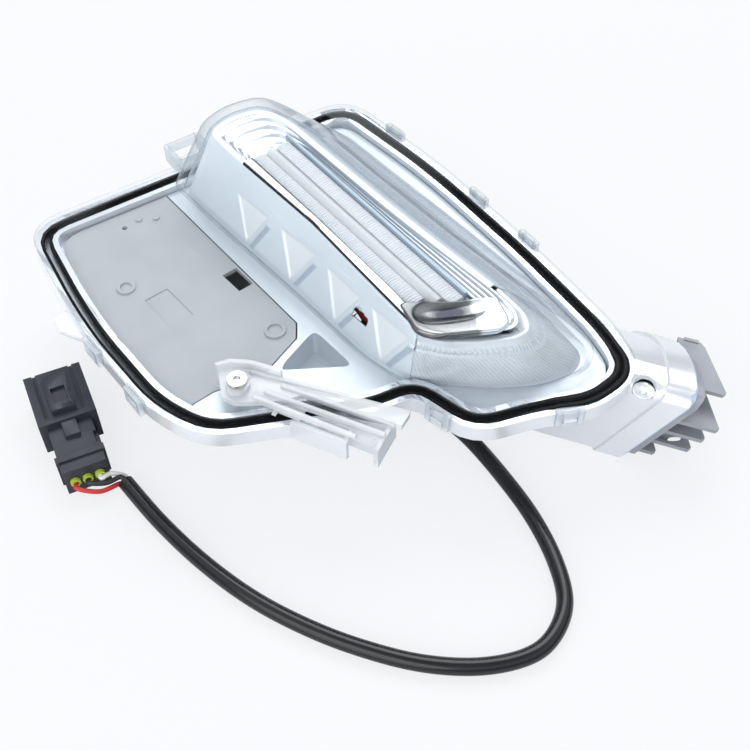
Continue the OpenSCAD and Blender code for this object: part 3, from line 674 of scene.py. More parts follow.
LENS = Clear("lens_clear", (0.82, 0.87, 0.92), rough=0.05, grain=14, relief=0.015,
             body=0.004, rim=0.92, edge=(0.20, 0.25, 0.31))
CLEAR_EDGE = Clear("clips_clear", (0.88, 0.92, 0.95), rough=0.10, grain=6, relief=0.02,
                   body=0.36, rim=0.95, edge=(0.33, 0.39, 0.46))
BRACKET = Clear("bracket_clear", (0.93, 0.94, 0.96), rough=0.12, grain=5, relief=0.02,
                body=0.55, rim=0.97, edge=(0.52, 0.56, 0.61))
# Its end colours are painted shade in the valleys and painted highlight on the ridges.
FLUTED = Clear("fan_clear", (0.84, 0.87, 0.91), rough=0.14, metal=0.2, grain=3,
               body=0.93, rim=0.98, edge=(0.70, 0.73, 0.78),
               painted_light_colours=((0.40, 0.43, 0.48), (0.97, 0.98, 1.0)))
STRIPS = Clear("strips_clear", (0.95, 0.96, 0.98), rough=0.14, metal=0.1, grain=3,
               body=0.95, rim=0.98, edge=(0.84, 0.86, 0.90))
GUIDE = Clear("guide_clear", (0.97, 0.98, 1.0), rough=0.08, grain=3, body=0.8, rim=0.95,
              edge=(0.72, 0.76, 0.82))
SEALANT = Finish("sealant_black", (0.003, 0.0033, 0.0045), rough=0.34, grain=1.6,
                 relief=0.16, mottle=0.3, shine=0.12)
# The bezel's end colours are painted shade for the truss bars and painted highlight for the
# triangles.
BEZEL = Finish("bezel_plated", (0.86, 0.905, 0.94), rough=0.36, metal=0.22, grain=9,
               relief=0.05, painted_light_colours=((0.42, 0.49, 0.56), (1.0, 1.0, 1.0)))
SURROUND = Finish("deck_plated", (0.75, 0.785, 0.82), rough=0.36, metal=0.28, grain=9,
                  relief=0.08, mottle=0.08)
PLATE = Finish("plate_grey", (0.56, 0.565, 0.585), rough=0.6, grain=0.7, relief=0.015,
               mottle=0.03)
HOUSING = Finish("housing_silver", (0.82, 0.84, 0.88), rough=0.22, metal=0.4, grain=2.5,
                 relief=0.004, mottle=0.05)
# Chrome with painted reflections: an olive grey middle, a painted dark reflection and a painted
# bright one at the ends.
CHROME = Finish("trim_chrome", (0.46, 0.45, 0.43), rough=0.12, metal=0.9, grain=8,
                painted_light_colours=((0.03, 0.03, 0.04), (0.96, 0.97, 0.98)))
# The tray's end colours are painted shade and painted highlight.
TRAY = Finish("tray_silver", (0.74, 0.77, 0.80), rough=0.22, metal=0.6, grain=5,
              relief=0.02, mottle=0.08, painted_light_colours=((0.42, 0.45, 0.49), (0.95, 0.97, 0.99)))
CAST = Finish("sink_cast", (0.34, 0.35, 0.385), rough=0.5, metal=0.3, grain=0.5,
              relief=0.05, mottle=0.1)
GASKET = Finish("gasket_blue", (0.52, 0.64, 0.80), rough=0.5, grain=0.8, relief=0.02)
STEEL = Finish("screws_zinc", (0.62, 0.62, 0.61), rough=0.23, metal=1.0, grain=0.4,
               mottle=0.1)
RUBBER = Finish("rubber_black", (0.02, 0.02, 0.02), rough=0.5, grain=0.6, relief=0.03)
SHEATH = Finish("sheath_black", (0.006, 0.006, 0.008), rough=0.22, coat=0.25, grain=1.5,
                relief=0.02, mottle=0.2, shine=0.3)
CONNECTOR = Finish("connector_black", (0.028, 0.031, 0.045), rough=0.38, grain=0.5,
                   relief=0.02, mottle=0.15)
LOCK = Finish("lock_dark", (0.05, 0.052, 0.06), rough=0.45, grain=0.5, relief=0.02)
RED_WIRE = Finish("red_wire", (0.60, 0.03, 0.03), rough=0.35, grain=0.8)
BLACK_WIRE = Finish("black_wire", (0.016, 0.016, 0.018), rough=0.35, grain=0.8)
WHITE_WIRE = Finish("white_wire", (0.84, 0.84, 0.82), rough=0.4, grain=0.8)
SILICONE = Finish("green_seals", (0.50, 0.62, 0.06), rough=0.35, grain=0.8)
# Lightened colour, painted light: the board lies in shade in its slot.
BOARD = Finish("board_green", (0.50, 0.74, 0.64), rough=0.45, grain=2.2, relief=0.02,
               mottle=0.2)
CHIPS = Finish("dark_chips", (0.20, 0.21, 0.22), rough=0.45, grain=0.5)
WHITE_BOARD = Finish("white_board", (0.86, 0.86, 0.84), rough=0.5, grain=0.8)
PHOSPHOR = Finish("led_yellow", (0.82, 0.68, 0.16), rough=0.5, grain=0.5)
BRASS = Finish("brass_terminals", (0.70, 0.54, 0.24), rough=0.22, metal=1.0, grain=0.5)


# Stage

@dataclass
class Studio:
    """The camera, the floor, the pale world and the soft lamps.

    Attributes:
        aim: the point the camera looks at, in the drawing's millimetres.
        away: distance from the camera to that point.
        azimuth: degrees round the lamp.
        elevation: degrees above the rest plane.
        lens: focal length on a 36 mm sensor.
        floor_half: half of the floor's side.
        floor_gap: how far the floor lies under the rest plane.
    """
    aim: tuple[float, float, float] = (0.0, 0.0, 50.0)
    away: float = 420.0
    azimuth: float = 50.0
    elevation: float = 50.0
    lens: float = 52.8
    floor_half: float = 12000.0
    floor_gap: float = 0.2

    def camera(self) -> None:
        """Places the camera at the photograph's angle, with its up side up."""
        a, e = radians(self.azimuth), radians(self.elevation)
        back = np.array([np.sin(a) * np.cos(e), -np.cos(a) * np.cos(e), np.sin(e)])
        data = bpy.data.cameras.new("view")
        data.lens, data.sensor_width = self.lens, 36
        data.clip_start, data.clip_end = 0.02, 20
        view = placed("view", data)
        aim = np.array(self.aim)
        view.location = Vector(row(aim + back * self.away))
        view.rotation_euler = Vector(-back).to_track_quat("-Z", "Y").to_euler()
        bpy.context.scene.camera = view

    def lamp(self, name: str, place: tuple[float, float, float], size: float,
             power: float) -> None:
        """Adds one soft lamp that faces the object.

        Args:
            name: its name.
            place: where it stands, in metres in the row frame.
            size: its width in metres.
            power: its power in watts.
        """
        data = bpy.data.lights.new(name, "AREA")
        data.shape, data.size, data.energy = "DISK", size, power
        lamp = placed(name, data)
        lamp.location = place
        lamp.rotation_euler = (-Vector(place)).to_track_quat("-Z", "Y").to_euler()

    def floor(self) -> None:
        """A wide pale floor that keeps the object's shadow."""
        x = np.array([-1, 1, 1, -1]) * self.floor_half
        mesh = new_mesh(spots(x, np.roll(x, 1), 0), [[0, 1, 2, 3]])
        floor = placed("floor", mesh)
        floor.location.z = -self.floor_gap * MM
        net = Net("floor")
        paint = net.add("ShaderNodeBsdfDiffuse", Color=tone((0.90, 0.915, 0.935)))
        glow = net.lit("ShaderNodeEmission", (0.95, 0.957, 0.975))
        path = net.add("ShaderNodeLightPath")
        seen = net.maths("MULTIPLY", path.outputs["Is Camera Ray"], 0.8)
        mesh.materials.append(net.finish(net.mixed(seen, paint, glow)))

    def world(self) -> None:
        """A pale world, near white to the camera and softer as a lamp.

        What shines sees large pale panels with greyer gaps, as in a tent of soft boxes: the
        panels' brightness goes up and down with height as sin(7z + 1.1x + 2.7).
        """
        world = bpy.data.worlds.new("studio")
        bpy.context.scene.world = world
        world.use_nodes = True
        net = Net("studio", world.node_tree)
        path = net.add("ShaderNodeLightPath")
        along = net.add("ShaderNodeSeparateXYZ", Vector=net.spread)
        high = net.maths("MULTIPLY", along.outputs["Z"], 7.0)
        wide = net.maths("MULTIPLY", along.outputs["X"], 1.1)
        phase = net.maths("ADD", net.maths("ADD", high, wide), 2.7)
        wave = net.maths("SINE", phase, 0.0)
        kind = "ShaderNodeBackground"
        panel = net.lit(kind, (0.93, 0.96, 1.0), net.ranged(wave, -0.7, 0.8, 0.38, 1.25))
        pale = net.lit(kind, (0.955, 0.97, 0.99))
        light = net.lit(kind, (0.95, 0.975, 1.0), 0.64)
        seen = net.maths("MAXIMUM", path.outputs["Is Camera Ray"],
                         path.outputs["Is Transmission Ray"])
        shiny = net.mixed(path.outputs["Is Glossy Ray"], light, panel)
        net.finish(net.mixed(seen, shiny, pale))

    def build(self) -> None:
        """Builds the stage."""
        scene = bpy.context.scene
        scene.view_settings.view_transform = "Standard"
        self.camera()
        self.world()
        self.floor()
        self.lamp("key", (-0.5, 0.55, 1.1), 1.0, 7.6)
        self.lamp("fill", (0.4, -1.0, 0.55), 1.2, 7.2)
        log.info("stage: camera, floor, world and two lamps")


# Cable

@dataclass
class Cable:
    """The free cable: its sheath on the table, its three wires and its connector.

    Attributes:
        sheath_d: the sheath's diameter.
        wire_d: a wire's diameter.
        spout: where the spout starts, in plan and height, and its slope in degrees.
        pins: the connector's place in plan, its turn in degrees, the pin pitch and height.
        lying: the route from the spout to the connector's end.
        leads: each wire's colour, way, finish, places along its way and free points.
    """
    sheath_d: float = 6.5
    wire_d: float = 2.0
    spout: tuple[float, float, float, float] = (-43.0, 31.0, 25.0, 31.0)
    pins: tuple[float, float, float, float, float] = (-61.0, -99.5, 164.4, 5.0, 7.0)
    lying: tuple[tuple[float, float, float], ...] = (
        (-10, 31.5, 6.6), (5, 32.4, 3.8), (22, 33, 3.3), (43, 30.5, 3.3), (65, 26, 3.3),
        (85, 18.5, 3.3), (100, 8.5, 3.3), (107, -5, 3.3), (106.5, -18, 3.3), (98, -34, 3.3),
        (83, -49.5, 3.3), (63, -63, 3.3), (43, -73, 3.3), (22, -80.5, 3.3), (-2, -85.5, 3.3),
        (-27, -88, 3.3), (-51, -88.5, 4))
    leads: tuple[tuple[str, int, Finish, tuple, list], ...] = (
        ("white", -1, WHITE_WIRE, (-3, -0.5, 3),
         [(-51.3, -87.4, 3.4), (-54, -87.3, 4.2), (-56.8, -91.4, 6.4)]),
        ("black", 0, BLACK_WIRE, (-3.4, -0.5, 3),
         [(-51.3, -88.5, 5.3), (-53.2, -89.5, 6.1), (-54.2, -95, 6)]),
        ("red", 1, RED_WIRE, (-4.2, -0.8, 3),
         [(-51.3, -89.6, 3.4), (-52.4, -91, 3.4), (-53, -99, 5)]))

    def on_spout(self, along: float, aside: float = 0.0) -> tuple[float, float, float]:
        """A point on the spout's axis, or beside it."""
        x, y, z, slope = self.spout
        return (x + along * np.cos(radians(slope)), y + aside,
                z - along * np.sin(radians(slope)))

    def on_pin(self, index: int, along: float) -> tuple[float, float, float]:
        """A point on the axis of one of the connector's three ways."""
        x, y, turn, pitch, z = self.pins
        c, s = np.cos(radians(turn)), np.sin(radians(turn))
        return (x + along * c - index * pitch * s, y + along * s + index * pitch * c, z)

    def run(self, name: str, points: Sequence, diameter: float, finish: Finish,
            node: str, slot: str) -> tuple[bpy.types.Object, float]:
        """One round run through points, as a curve.

        Args:
            name: the piece's name.
            points: the route's points.
            diameter: its diameter.
            finish: what it is made of.
            node: the CAD node that it stands for.
            slot: not used.

        Returns:
            The curve object, and its length in metres along its middle.
        """
        line = row(smooth_curve(np.array(points, float), 10))
        curve = bpy.data.curves.new(name, "CURVE")
        curve.dimensions = "3D"
        curve.bevel_depth = diameter / 2 * MM
        curve.bevel_resolution = 6
        curve.use_fill_caps = True
        straight_line(curve, line).use_smooth = True
        curve.materials.append(finish.material())
        piece = placed(name, curve)
        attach(piece, "root")
        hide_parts(node)
        log.info("%s: %d points, %.1f mm thick", name, len(line), diameter)
        return piece, float(runs(line)[-1])

    def build(self) -> None:
        route = [self.on_spout(s) for s in (4, 11, 18, 25)] + list(self.lying)
        sheath, length = self.run("cable", route, self.sheath_d, SHEATH, "cable_sheath",
                                  "black_sheath")
        wires = [self.run(f"{colour}_lead", free + [self.on_pin(way, x) for x in along],
                          self.wire_d, finish, f"wire_{colour}", f"{colour}_wire")[0]
                 for colour, way, finish, along, free in self.leads]
        plug = [rounded_node("connector_body", CONNECTOR, 0.5),
                rounded_node("connector_lock", LOCK, 0.15),
                rounded_node("wire_seals", SILICONE, 0.12),
                rounded_node("terminals", BRASS, 0.2)]
        tuple(row(np.array(route[0])))


# Lens

@dataclass
class ClearLens:
    """The clear lens: its flange, its raised window, its clips and its locating loop.

    Attributes:
        wall: the lens's wall.
        clips: side of the seal line and how far along it, for each clip.
        clip: a clip's width, thickness and height.
        clip_bars: width of a clip's legs, and height of its foot.
        clip_gap: how far the clips stand off the flange.
        loop_at: side of the seal line and how far along it, for the loop.
    """
    wall: float = LENS_T
    clips: tuple[tuple[int, float], ...] = ((2, 0.12), (2, 0.85), (7, 0.55), (9, 0.5),
                                            (13, 0.02), (13, 0.55), (14, 0.5))
    clip: tuple[float, float, float] = (11.0, 2.0, 8.0)
    clip_bars: tuple[float, float] = (2.5, 1.6)
    clip_gap: float = 0.3
    loop_at: tuple[int, float] = (15, 0.5)

    def skin(self, depth: float, low: float) -> Array:
        """One skin of the window, from its foot up the wall and over the crown.

        The wall is straight from foot to edge, a quadratic curve round the edge joins it to
        the crown, and the crown rises by c(1 - (1 - d/8)^2.6) at a distance d inside the edge.

        Args:
            depth: how far the skin lies inside the outer one.
            low: height of its foot.

        Returns:
            (rings, points, 3) points.
        """
        foot, edge = foot_ring(WINDOW_FOOT, depth, low), edge_ring(depth, -depth)
        crown = [edge_ring(depth + d, -depth + CROWN * (1 - (1 - d / 8) ** 2.6))
                 for d in (1.8, 3.0, 4.5, 6.0, 8.0)]
        wall = [foot + (edge - foot) * t for t in (0, 0.04, 0.5, 0.93)]
        bend = [wall[-1] * (1 - s) ** 2 + 2 * edge * s * (1 - s) + crown[0] * s ** 2
                for s in (0.15, 0.3, 0.45, 0.6, 0.75, 0.9)]
        return np.stack(wall + bend + crown)

    def window(self) -> None:
        """The window: its outer skin and its inner skin, closed round the foot."""
        outer, inner = self.skin(0, DECK), self.skin(self.wall, DECK - self.wall)
        rings = np.concatenate([inner[::-1], outer])
        show("lens_window", grid_mesh(rings, ring=True, caps=True), LENS,
             ("outer_lens",), sharp=50)

    def flange(self) -> None:
        """The flat deck round the window, out to the rim."""
        rim = grown(eased(SEAL_LINE), LIP)
        hole = inset(WINDOW_FOOT, 0.0)
        show("lens_deck", plate_mesh([rim, hole[::-1]], DECK - self.wall, DECK, 0.5), LENS,
             sharp=50)

    def frame(self, side: int, along: float) -> tuple[Array, float]:
        """A place on the seal line, and the turn that points +Y out of the lamp."""
        a, b = SEAL_LINE[side, :2], SEAL_LINE[(side + 1) % len(SEAL_LINE), :2]
        d = b - a
        return a + d * along, float(np.degrees(np.arctan2(d[1], d[0]))) + 180

    def straps(self) -> None:
        """The hanging clips, each a strap with a window, all in one mesh."""
        w, t, h = self.clip
        leg, foot = self.clip_bars
        y, inner = LIP + self.clip_gap, w / 2 - leg
        bars = np.array([
            [[-w / 2, y, DECK - h], [-inner, y + t, DECK]],
            [[inner, y, DECK - h], [w / 2, y + t, DECK]],
            [[-inner, y, DECK - h], [inner, y + t, DECK - h + foot]],
            [[-inner, y, DECK - self.wall - 0.8], [inner, y + t, DECK]],
            [[-w / 2, y - 1, DECK - self.wall], [w / 2, y, DECK]]])
        show("lens_clips", bars_mesh(bars, [self.frame(*at) for at in self.clips]),
             CLEAR_EDGE, bevel=0.25)

    def loop(self) -> None:
        """The locating loop: a frame 18 by 14 of bars 2 wide, and the shelf it stands on."""
        y = LIP - 0.5
        bars = np.array([
            [[-9, y + 0.5, 43], [-7, y + 14.5, 52]], [[7, y + 0.5, 43], [9, y + 14.5, 52]],
            [[-7, y + 0.5, 47.5], [7, y + 2.5, 52]], [[-7, y + 12.5, 47.5], [7, y + 14.5, 52]],
            [[-9, y - 5.9, 50], [9, y + 0.5, 52]]])
        show("lens_loop", bars_mesh(bars, [self.frame(*self.loop_at)]), CLEAR_EDGE,
             bevel=0.3)

    def build(self) -> None:
        """Builds the lens."""
        self.window()
        self.flange()
        self.straps()
        self.loop()


@dataclass
class Sealant:
    """The black sealant on both sides of the lens tongue.

    Attributes:
        count: points round the lamp.
        sides: points round the bead's section.
        middle_up: height of a bead's middle above the brim.
        half_w: a bead's mean half width.
        half_h: a bead's mean half height.
    """
    count: int = 900
    sides: int = 16
    middle_up: float = 2.45
    half_w: float = 0.72
    half_h: float = 2.3

    def bead(self, name: str, middle: float, seed: int, nodes: tuple[str, ...]) -> None:
        """One bead: an oval section whose width and height wander as squeezed sealant does.

        The section is (cos a, sin a), each to the power 0.7 with its sign kept. Near the
        right end the bead is 2.3 times as wide and 1 mm higher.

        Args:
            name: the piece's name.
            middle: how far outside the seal line its middle runs.
            seed: seed of its wandering.
            nodes: the CAD nodes that it stands for.
        """
        path = at_height(evenly(grown(eased(SEAL_LINE), middle), self.count),
                         BRIM + self.middle_up)
        end = ramp(path[:, 0], 30, 26) * ramp(path[:, 1], 30, 15)
        path[:, 2] += end
        wide = self.half_w * (1 + 0.2 * wandering(self.count, seed, (7, 19, 41, 83, 131)))
        tall = self.half_h * (1 + 0.03 * wandering(self.count, seed + 1, (11, 29, 67)))
        a = np.linspace(0, 2 * np.pi, self.sides, endpoint=False)
        ring = np.stack([np.cos(a), np.sin(a)], axis=1)
        ring = np.sign(ring) * np.abs(ring) ** 0.7
        section = ring[None] * np.stack([wide * (1 + 1.3 * end), tall], axis=1)[:, None]
        show(name, grid_mesh(swept(path, section), ring=True, tube=True), SEALANT,
             nodes)

    def build(self) -> None:
        """Builds the inner and the outer bead."""
        self.bead("sealant_outer", 1.66, 3, ("seal_bead",))
        self.bead("sealant_inner", -1.66, 8, ())


class Band(Enum):
    """Stretches of the window's wall."""
    LEFT = "left"
    FAN = "fan"


@dataclass
class Window:
    """What stands behind the window: its bezel with the truss, the fan flutes and the optics.

    Attributes:
        strip_y: front edge of the front fluted strip.
        strip_w: width of a fluted strip.
        guide_w: width of the light guide.
        left: where the strips start.
        pitch: pitch of the flutes.
        fan_corners: the corners of the window's foot between which the fan stands.
        truss_at: middles of the sunk triangles.
        sight: the sight hole's middle along X, and its height above the ledge.
        trim_x: places along the front strip where its edges are given.
        trim_front: its front edge there.
        trim_back: its back edge there.
    """
    strip_y: float = 22.0
    strip_w: float = 6.5
    guide_w: float = 5.0
    left: float = -106.0
    pitch: float = 1.3
    fan_corners: tuple[int, int] = (4, 10)
    truss_at: tuple[float, ...] = (-94.0, -64.0, -34.0, -6.0)
    sight: tuple[float, float] = (-21.5, 11.0)
    trim_x: tuple[float, ...] = (-104, -60, -12, 4)
    trim_front: tuple[float, ...] = (15.8, 17.4, 15.2, 14.6)
    trim_back: tuple[float, ...] = (20.8, 21.0, 20.0, 18.4)

    def wall(self, band: Band, rows: int) -> tuple[Array, Array, Array]:
        """A stretch of the bezel's wall, from its foot to its top edge.

        Args:
            band: which stretch.
            rows: points up the wall.

        Returns:
            (rows, columns, 3) points, the wall's outward normals, and each column's run
            along the foot.
        """
        foot = foot_ring(BEZEL_FOOT, BEZEL_IN, LEDGE)
        edge = edge_ring(BEZEL_IN, -BEZEL_IN)
        start, end = (corner * (STEPS + 1) + 2 * STEPS // 3 for corner in self.fan_corners)
        picked = (np.arange(start, end + 1) if band is Band.FAN
                  else np.r_[end:len(foot), 0:start + 1])
        foot, edge = foot[picked], edge[picked]
        run = runs(foot)
        even = np.linspace(0, run[-1], int(run[-1] / WALL_STEP))
        foot, edge = at_runs(foot, even, run), at_runs(edge, even, run)
        top = 0.9 if band is Band.FAN else 1.0
        t = np.linspace(0, top, rows)[:, None, None]
        grid = foot[None] * (1 - t) + edge[None] * t
        normal = unit(np.cross(np.gradient(grid, axis=1), np.gradient(grid, axis=0)))
        return grid, normal, even

    def lipped(self, grid: Array, normal: Array, lips: Sequence[tuple[float, float]]
               ) -> Array:
        """A wall with rows added past its top edge.

        Args:
            grid: the wall's points.
            normal: its outward normals.
            lips: how far inward and how far up each row lies from the edge.

        Returns:
            The grid with its new rows.
        """
        level = unit(normal[-1] * [1, 1, 0])
        return np.concatenate([grid, [grid[-1] - level * d + [0, 0, up] for d, up in lips]])

    def truss(self, x: Array, z: Array) -> tuple[Array, Array]:
        """How far places on the front wall lie in a sunk triangle, and on a slanted bar.

        A triangle stands on its point: it holds the places whose height above the foot is
        over 2 + 1.7|x - m| and under 21.5. A bar follows x = m + 8 + 0.55(z - 10).

        Args:
            x: places along the wall.
            z: heights above the wall's foot.

        Returns:
            Both as 0 to 1.
        """
        hole, bar = np.zeros_like(x), np.zeros_like(x)
        for middle in self.truss_at:
            inside = np.minimum(z - 2 - np.abs(x - middle) * 1.7, 21.5 - z)
            hole = np.maximum(hole, ramp(inside, 0, 2.2))
            lean = np.abs(x - middle - 8.0 - (z - 10) * 0.55)
            strip = np.minimum(1.8 - lean, np.minimum(z - 2.5, 18.0 - z))
            bar = np.maximum(bar, ramp(strip, 0, 0.9))
        return soft_step(hole), soft_step(bar)

    def bezel_painted_light(self, points: Array) -> Array:
        """Painted light of the bezel: a painted highlight in the triangles, painted shade on
        the bars.
        """
        hole, bar = self.truss(points[:, 0], points[:, 2] - LEDGE)
        return np.where(points[:, 1] < FRONT_Y, 0.5 + 0.45 * hole - 0.34 * bar, 0.5)

    def bezel(self) -> None:
        """The metallised wall round the window, with its truss in front and its top lip.

        The front wall is raised 0.5 on the bars, sunk 0.7 in the triangles, and waves by
        0.25 sin(x / 7.3) sin(pi z / 29). From the sight hole's own corner, its bounds are
        |x| < 4.6 and 0 < z < 5.2 - 0.25x, with z < 3.9 + 0.75(x + 4.6).
        """
        grid, normal, _ = self.wall(Band.LEFT, 56)
        hole, bar = self.truss(grid[..., 0], grid[..., 2] - LEDGE)
        front = (grid[..., 1] < FRONT_Y) & (normal[..., 1] < -0.5)
        relief = np.where(front, 0.5 * bar - 0.7 * hole, 0)
        soft = 0.25 * np.sin(grid[..., 0] / 7.3) * np.sin(np.pi * (grid[..., 2] - LEDGE) / 29)
        grid = grid + normal * (relief + np.where(front, soft, 0) - 0.02)[..., None]
        grid = self.lipped(grid, normal, ((0.4, 0.25), (1.2, 0.3), (3.0, 0.0), (3.4, -1.2)))
        x, z = grid[..., 0] - self.sight[0], grid[..., 2] - LEDGE - self.sight[1]
        gap = ((z > 0) & (z < 5.2 - 0.25 * x) & (np.abs(x) < 4.6)
               & (z < 3.9 + 0.75 * (x + 4.6)) & (grid[..., 1] < FRONT_Y))
        # Its tone paints a highlight in the triangles and shade on the bars.
        show("window_bezel", grid_mesh(grid, open_at=gap), BEZEL,
             ("inner_bezel",), sharp=60, wall=0.7, shade=self.bezel_painted_light)

    def fan(self) -> None:
        """The fluted wall round the window's end.

        Ridges of 0.55 |sin(pi r / 1.8)|^0.7 stand on it, where r is the run along the foot
        plus 0.55 of the height, so they lean as they climb. A row of small teeth, 2.4 mm
        apart, crosses them near the top. Its colour carries painted highlight on the ridges and
        teeth and painted shade in the valleys.
        """
        grid, normal, run = self.wall(Band.FAN, 40)
        up = grid[..., 2] - LEDGE
        lean = run[None] + up * 0.55
        ridge = 0.55 * np.abs(np.sin(np.pi * lean / 1.8)) ** 0.7
        teeth = 0.5 * np.clip(np.abs(np.sin(np.pi * run[None] / 2.4)) * 1.6 - 0.5, 0, 1)
        top = up[-1:, :]
        row_at = np.clip(1.6 - np.abs(up - top * 0.8), 0, 1)
        low = ramp(up, 1.5, 1.0) * ramp(top * 0.72 - up, 0, 0.8)
        grid = grid + normal * (ridge * low + teeth * row_at - 0.6)[..., None]
        # Painted light: lighter on the ridges and teeth as painted highlight, darker in the
        # valleys as painted shade.
        painted_light_at = 0.5 + (0.42 * (ridge / 0.55) - 0.3) * low + 0.3 * (teeth - 0.2) * row_at
        lips = ((0.5, 0.2), (1.4, 0.1), (3.2, -0.6), (5.0, -2.0), (7.0, -4.6))
        grid = self.lipped(grid, normal, lips)
        show("fan_flutes", grid_mesh(grid), FLUTED, ("fan_lens",), sharp=60,
             wall=0.8, shade=np.concatenate([painted_light_at, np.full((len(lips), len(run)), 0.6)]))

    def cap_x(self, y: float) -> float:
        """Slanted left edge of the end cap at a given Y."""
        return -4.4 + (y - 20.4) * 0.71

    def strip(self, name: str, y: float, width: float, base: float, ridge: float,
              rows: int, finish: Finish, slot: str, node: str, crown: float) -> None:
        """A strip along the window whose top carries flutes across it.

        The top is base + ridge |sin(pi x / pitch)| + crown (1 - v^2), with v from -1 to 1
        across the strip.

        Args:
            name: the piece's name.
            y: its front edge.
            width: its width.
            base: height of its sides above the optics floor.
            ridge: height of its flutes.
            rows: points across it.
            finish: what it is made of.
            slot: not used.
            node: the CAD node that it stands for.
            crown: how far its middle rises.
        """
        right = self.cap_x(y) - 1.2
        x = np.linspace(self.left, right, int((right - self.left) / FLUTE_STEP))
        v = np.linspace(-1, 1, rows)
        ridges = ridge * np.abs(np.sin(np.pi * x / self.pitch))
        top = base + ridges[:, None] + crown * (1 - v[None] ** 2)
        across = y + (v + 1) / 2 * width
        grid = np.concatenate([spots(x[:, None], across, top),
                               spots(x[:, None], across[::-1], 0.05)], axis=1)
        grid[..., 2] -= FLOOR_DROP
        show(name, grid_mesh(on_window_plane(grid).transpose(1, 0, 2), tube=True,
                             caps=True), finish, (node,), sharp=70)

    def front_edge(self, x: Array) -> Array:
        """Front edge of the front strip."""
        return np.interp(x, self.trim_x, self.trim_front)

    def front_strip(self) -> None:
        """The plated strip along the front, its top 0.35(1 - v^4) high across its width."""
        x = np.linspace(-104, 1.5, 260)
        front, back = self.front_edge(x), np.interp(x, self.trim_x, self.trim_back)
        v = np.linspace(-1, 1, 13)[:, None]
        across = (front + back) / 2 + v * (back - front) / 2
        ring = np.concatenate([spots(x, across, -2.2 + 0.35 * (1 - v ** 4)),
                               spots(x, across[::-1], -3.3)])
        show("front_strip", grid_mesh(on_window_plane(ring), tube=True, caps=True), CHROME,
             shade=self.strip_dark_line_and_reflection)

    def strip_dark_line_and_reflection(self, points: Array) -> Array:
        """Tone of the front strip: a dark front edge, then a painted reflection, grey turning
            bright at the right.
        """
        x = points[:, 0]
        painted_reflection = np.interp(x, [-104, -66, -48, -32], [0.36, 0.38, 0.6, 1.0])
        return np.where(points[:, 1] < self.front_edge(x) + 0.62, 0.0, painted_reflection)

    def end_cap(self) -> None:
        """The plated end cap, with a polished oval dish whose reflection is painted into its
        colour.

        The dish's depth is 2.4(1 - e^2) inside e = 1, where e is the distance from its
        middle measured along its two half lengths, and its rim is rolled down outside.
        """
        corners = np.array([[-6.5, 16.6, 2.5], [8, 13.2, 3], [14, 17, 3.5], [27, 39, 4],
                            [26, 44.5, 3.5], [14.5, 48.5, 3]], float)
        outline = evenly(eased(corners), 144)
        middle = outline.mean(axis=0)
        f = np.concatenate([np.linspace(0.02, 0.94, 40), [0.975, 1.0, 1.005, 0.99]])
        plan = middle + (outline - middle)[None] * f[:, None, None]
        fall = np.concatenate([np.zeros(40), [-0.15, -0.6, -1.6, -3.0]])[:, None]
        e = self.dish(plan[..., 0], plan[..., 1])
        top = -1.2 - 2.4 * np.clip(1 - e ** 2, 0, 1) + fall
        grid = spots(plan[..., 0], plan[..., 1], top)
        show("end_cap", grid_mesh(on_window_plane(grid), ring=True, caps=True), CHROME,
             ("chrome_trim",), sharp=60, shade=self.cap_painted_reflection)

    def dish(self, x: Array, y: Array) -> Array:
        """Distance from the dish's middle: (|u|^2.4 + |v|^2.4)^(1/2.4), 1 on its edge."""
        turn = radians(62)
        u = (x - 8.2) * np.cos(turn) + (y - 29.5) * np.sin(turn)
        v = -(x - 8.2) * np.sin(turn) + (y - 29.5) * np.cos(turn)
        return ((np.abs(u) / 14.5) ** 2.4 + (np.abs(v) / 6.6) ** 2.4) ** (1 / 2.4)

    def cap_painted_reflection(self, points: Array) -> Array:
        """Painted reflection on the cap: a dark line in the dish, grey round it, bright at the
            right.
        """
        x, y = points[:, 0], points[:, 1]
        e = self.dish(x, y)
        far = ramp(x * 0.47 + y * 0.88, 38.0, 2.0)
        inside = np.interp(e, [0, 0.34, 0.5, 0.66, 0.88, 0.97, 1.05, 1.3, 1.6],
                           [0.0, 0.02, 0.14, 0.26, 0.22, 0.04, 0.14, 0.2, 0.3])
        return inside * (1 - far) + far

    def reflector(self) -> None:
        """The silver reflector behind the strips, with fine steps that curve round its end.

        From the window's edge to the strips it falls as a quarter wave, and five steps of
        0.35 mm run along it.
        """
        count = 420
        outer = evenly(inset(WINDOW_EDGE, BEZEL_IN + 2.2), count)
        inner = evenly(eased(np.array([[-108, 21.5, 9], [-6, 21.5, 2], [14, 42.6, 3],
                                       [10, 44.5, 3], [-104, 44.5, 12]], float)), 4 * count)
        near = np.argmin(np.linalg.norm(inner[None] - outer[:, None], axis=2), axis=1)
        t = np.linspace(0, 1, 46)[:, None]
        plan = outer * (1 - t[..., None]) + inner[near] * t[..., None]
        fall = -3.6 - 4.2 * np.sin(np.pi / 2 * t) ** 1.3
        steps = 0.35 * np.abs(np.sin(5 * np.pi * t))
        grid = spots(plan[..., 0], plan[..., 1], fall + steps)
        show("reflector", grid_mesh(on_window_plane(grid), ring=True), TRAY,
             sharp=50, wall=0.4, shade=self.reflector_painted_light)

    def reflector_painted_light(self, points: Array) -> Array:
        """Painted light on the reflector: bright along the back and at the left end, greyer in
            front.
        """
        x, y = points[:, 0], points[:, 1]
        painted_light_at = 0.42 + 0.4 * ramp(y, 42, 4) + 0.3 * ramp(-x, 98, 10) * ramp(y, 24, 8)
        return np.clip(painted_light_at, 0, 1)

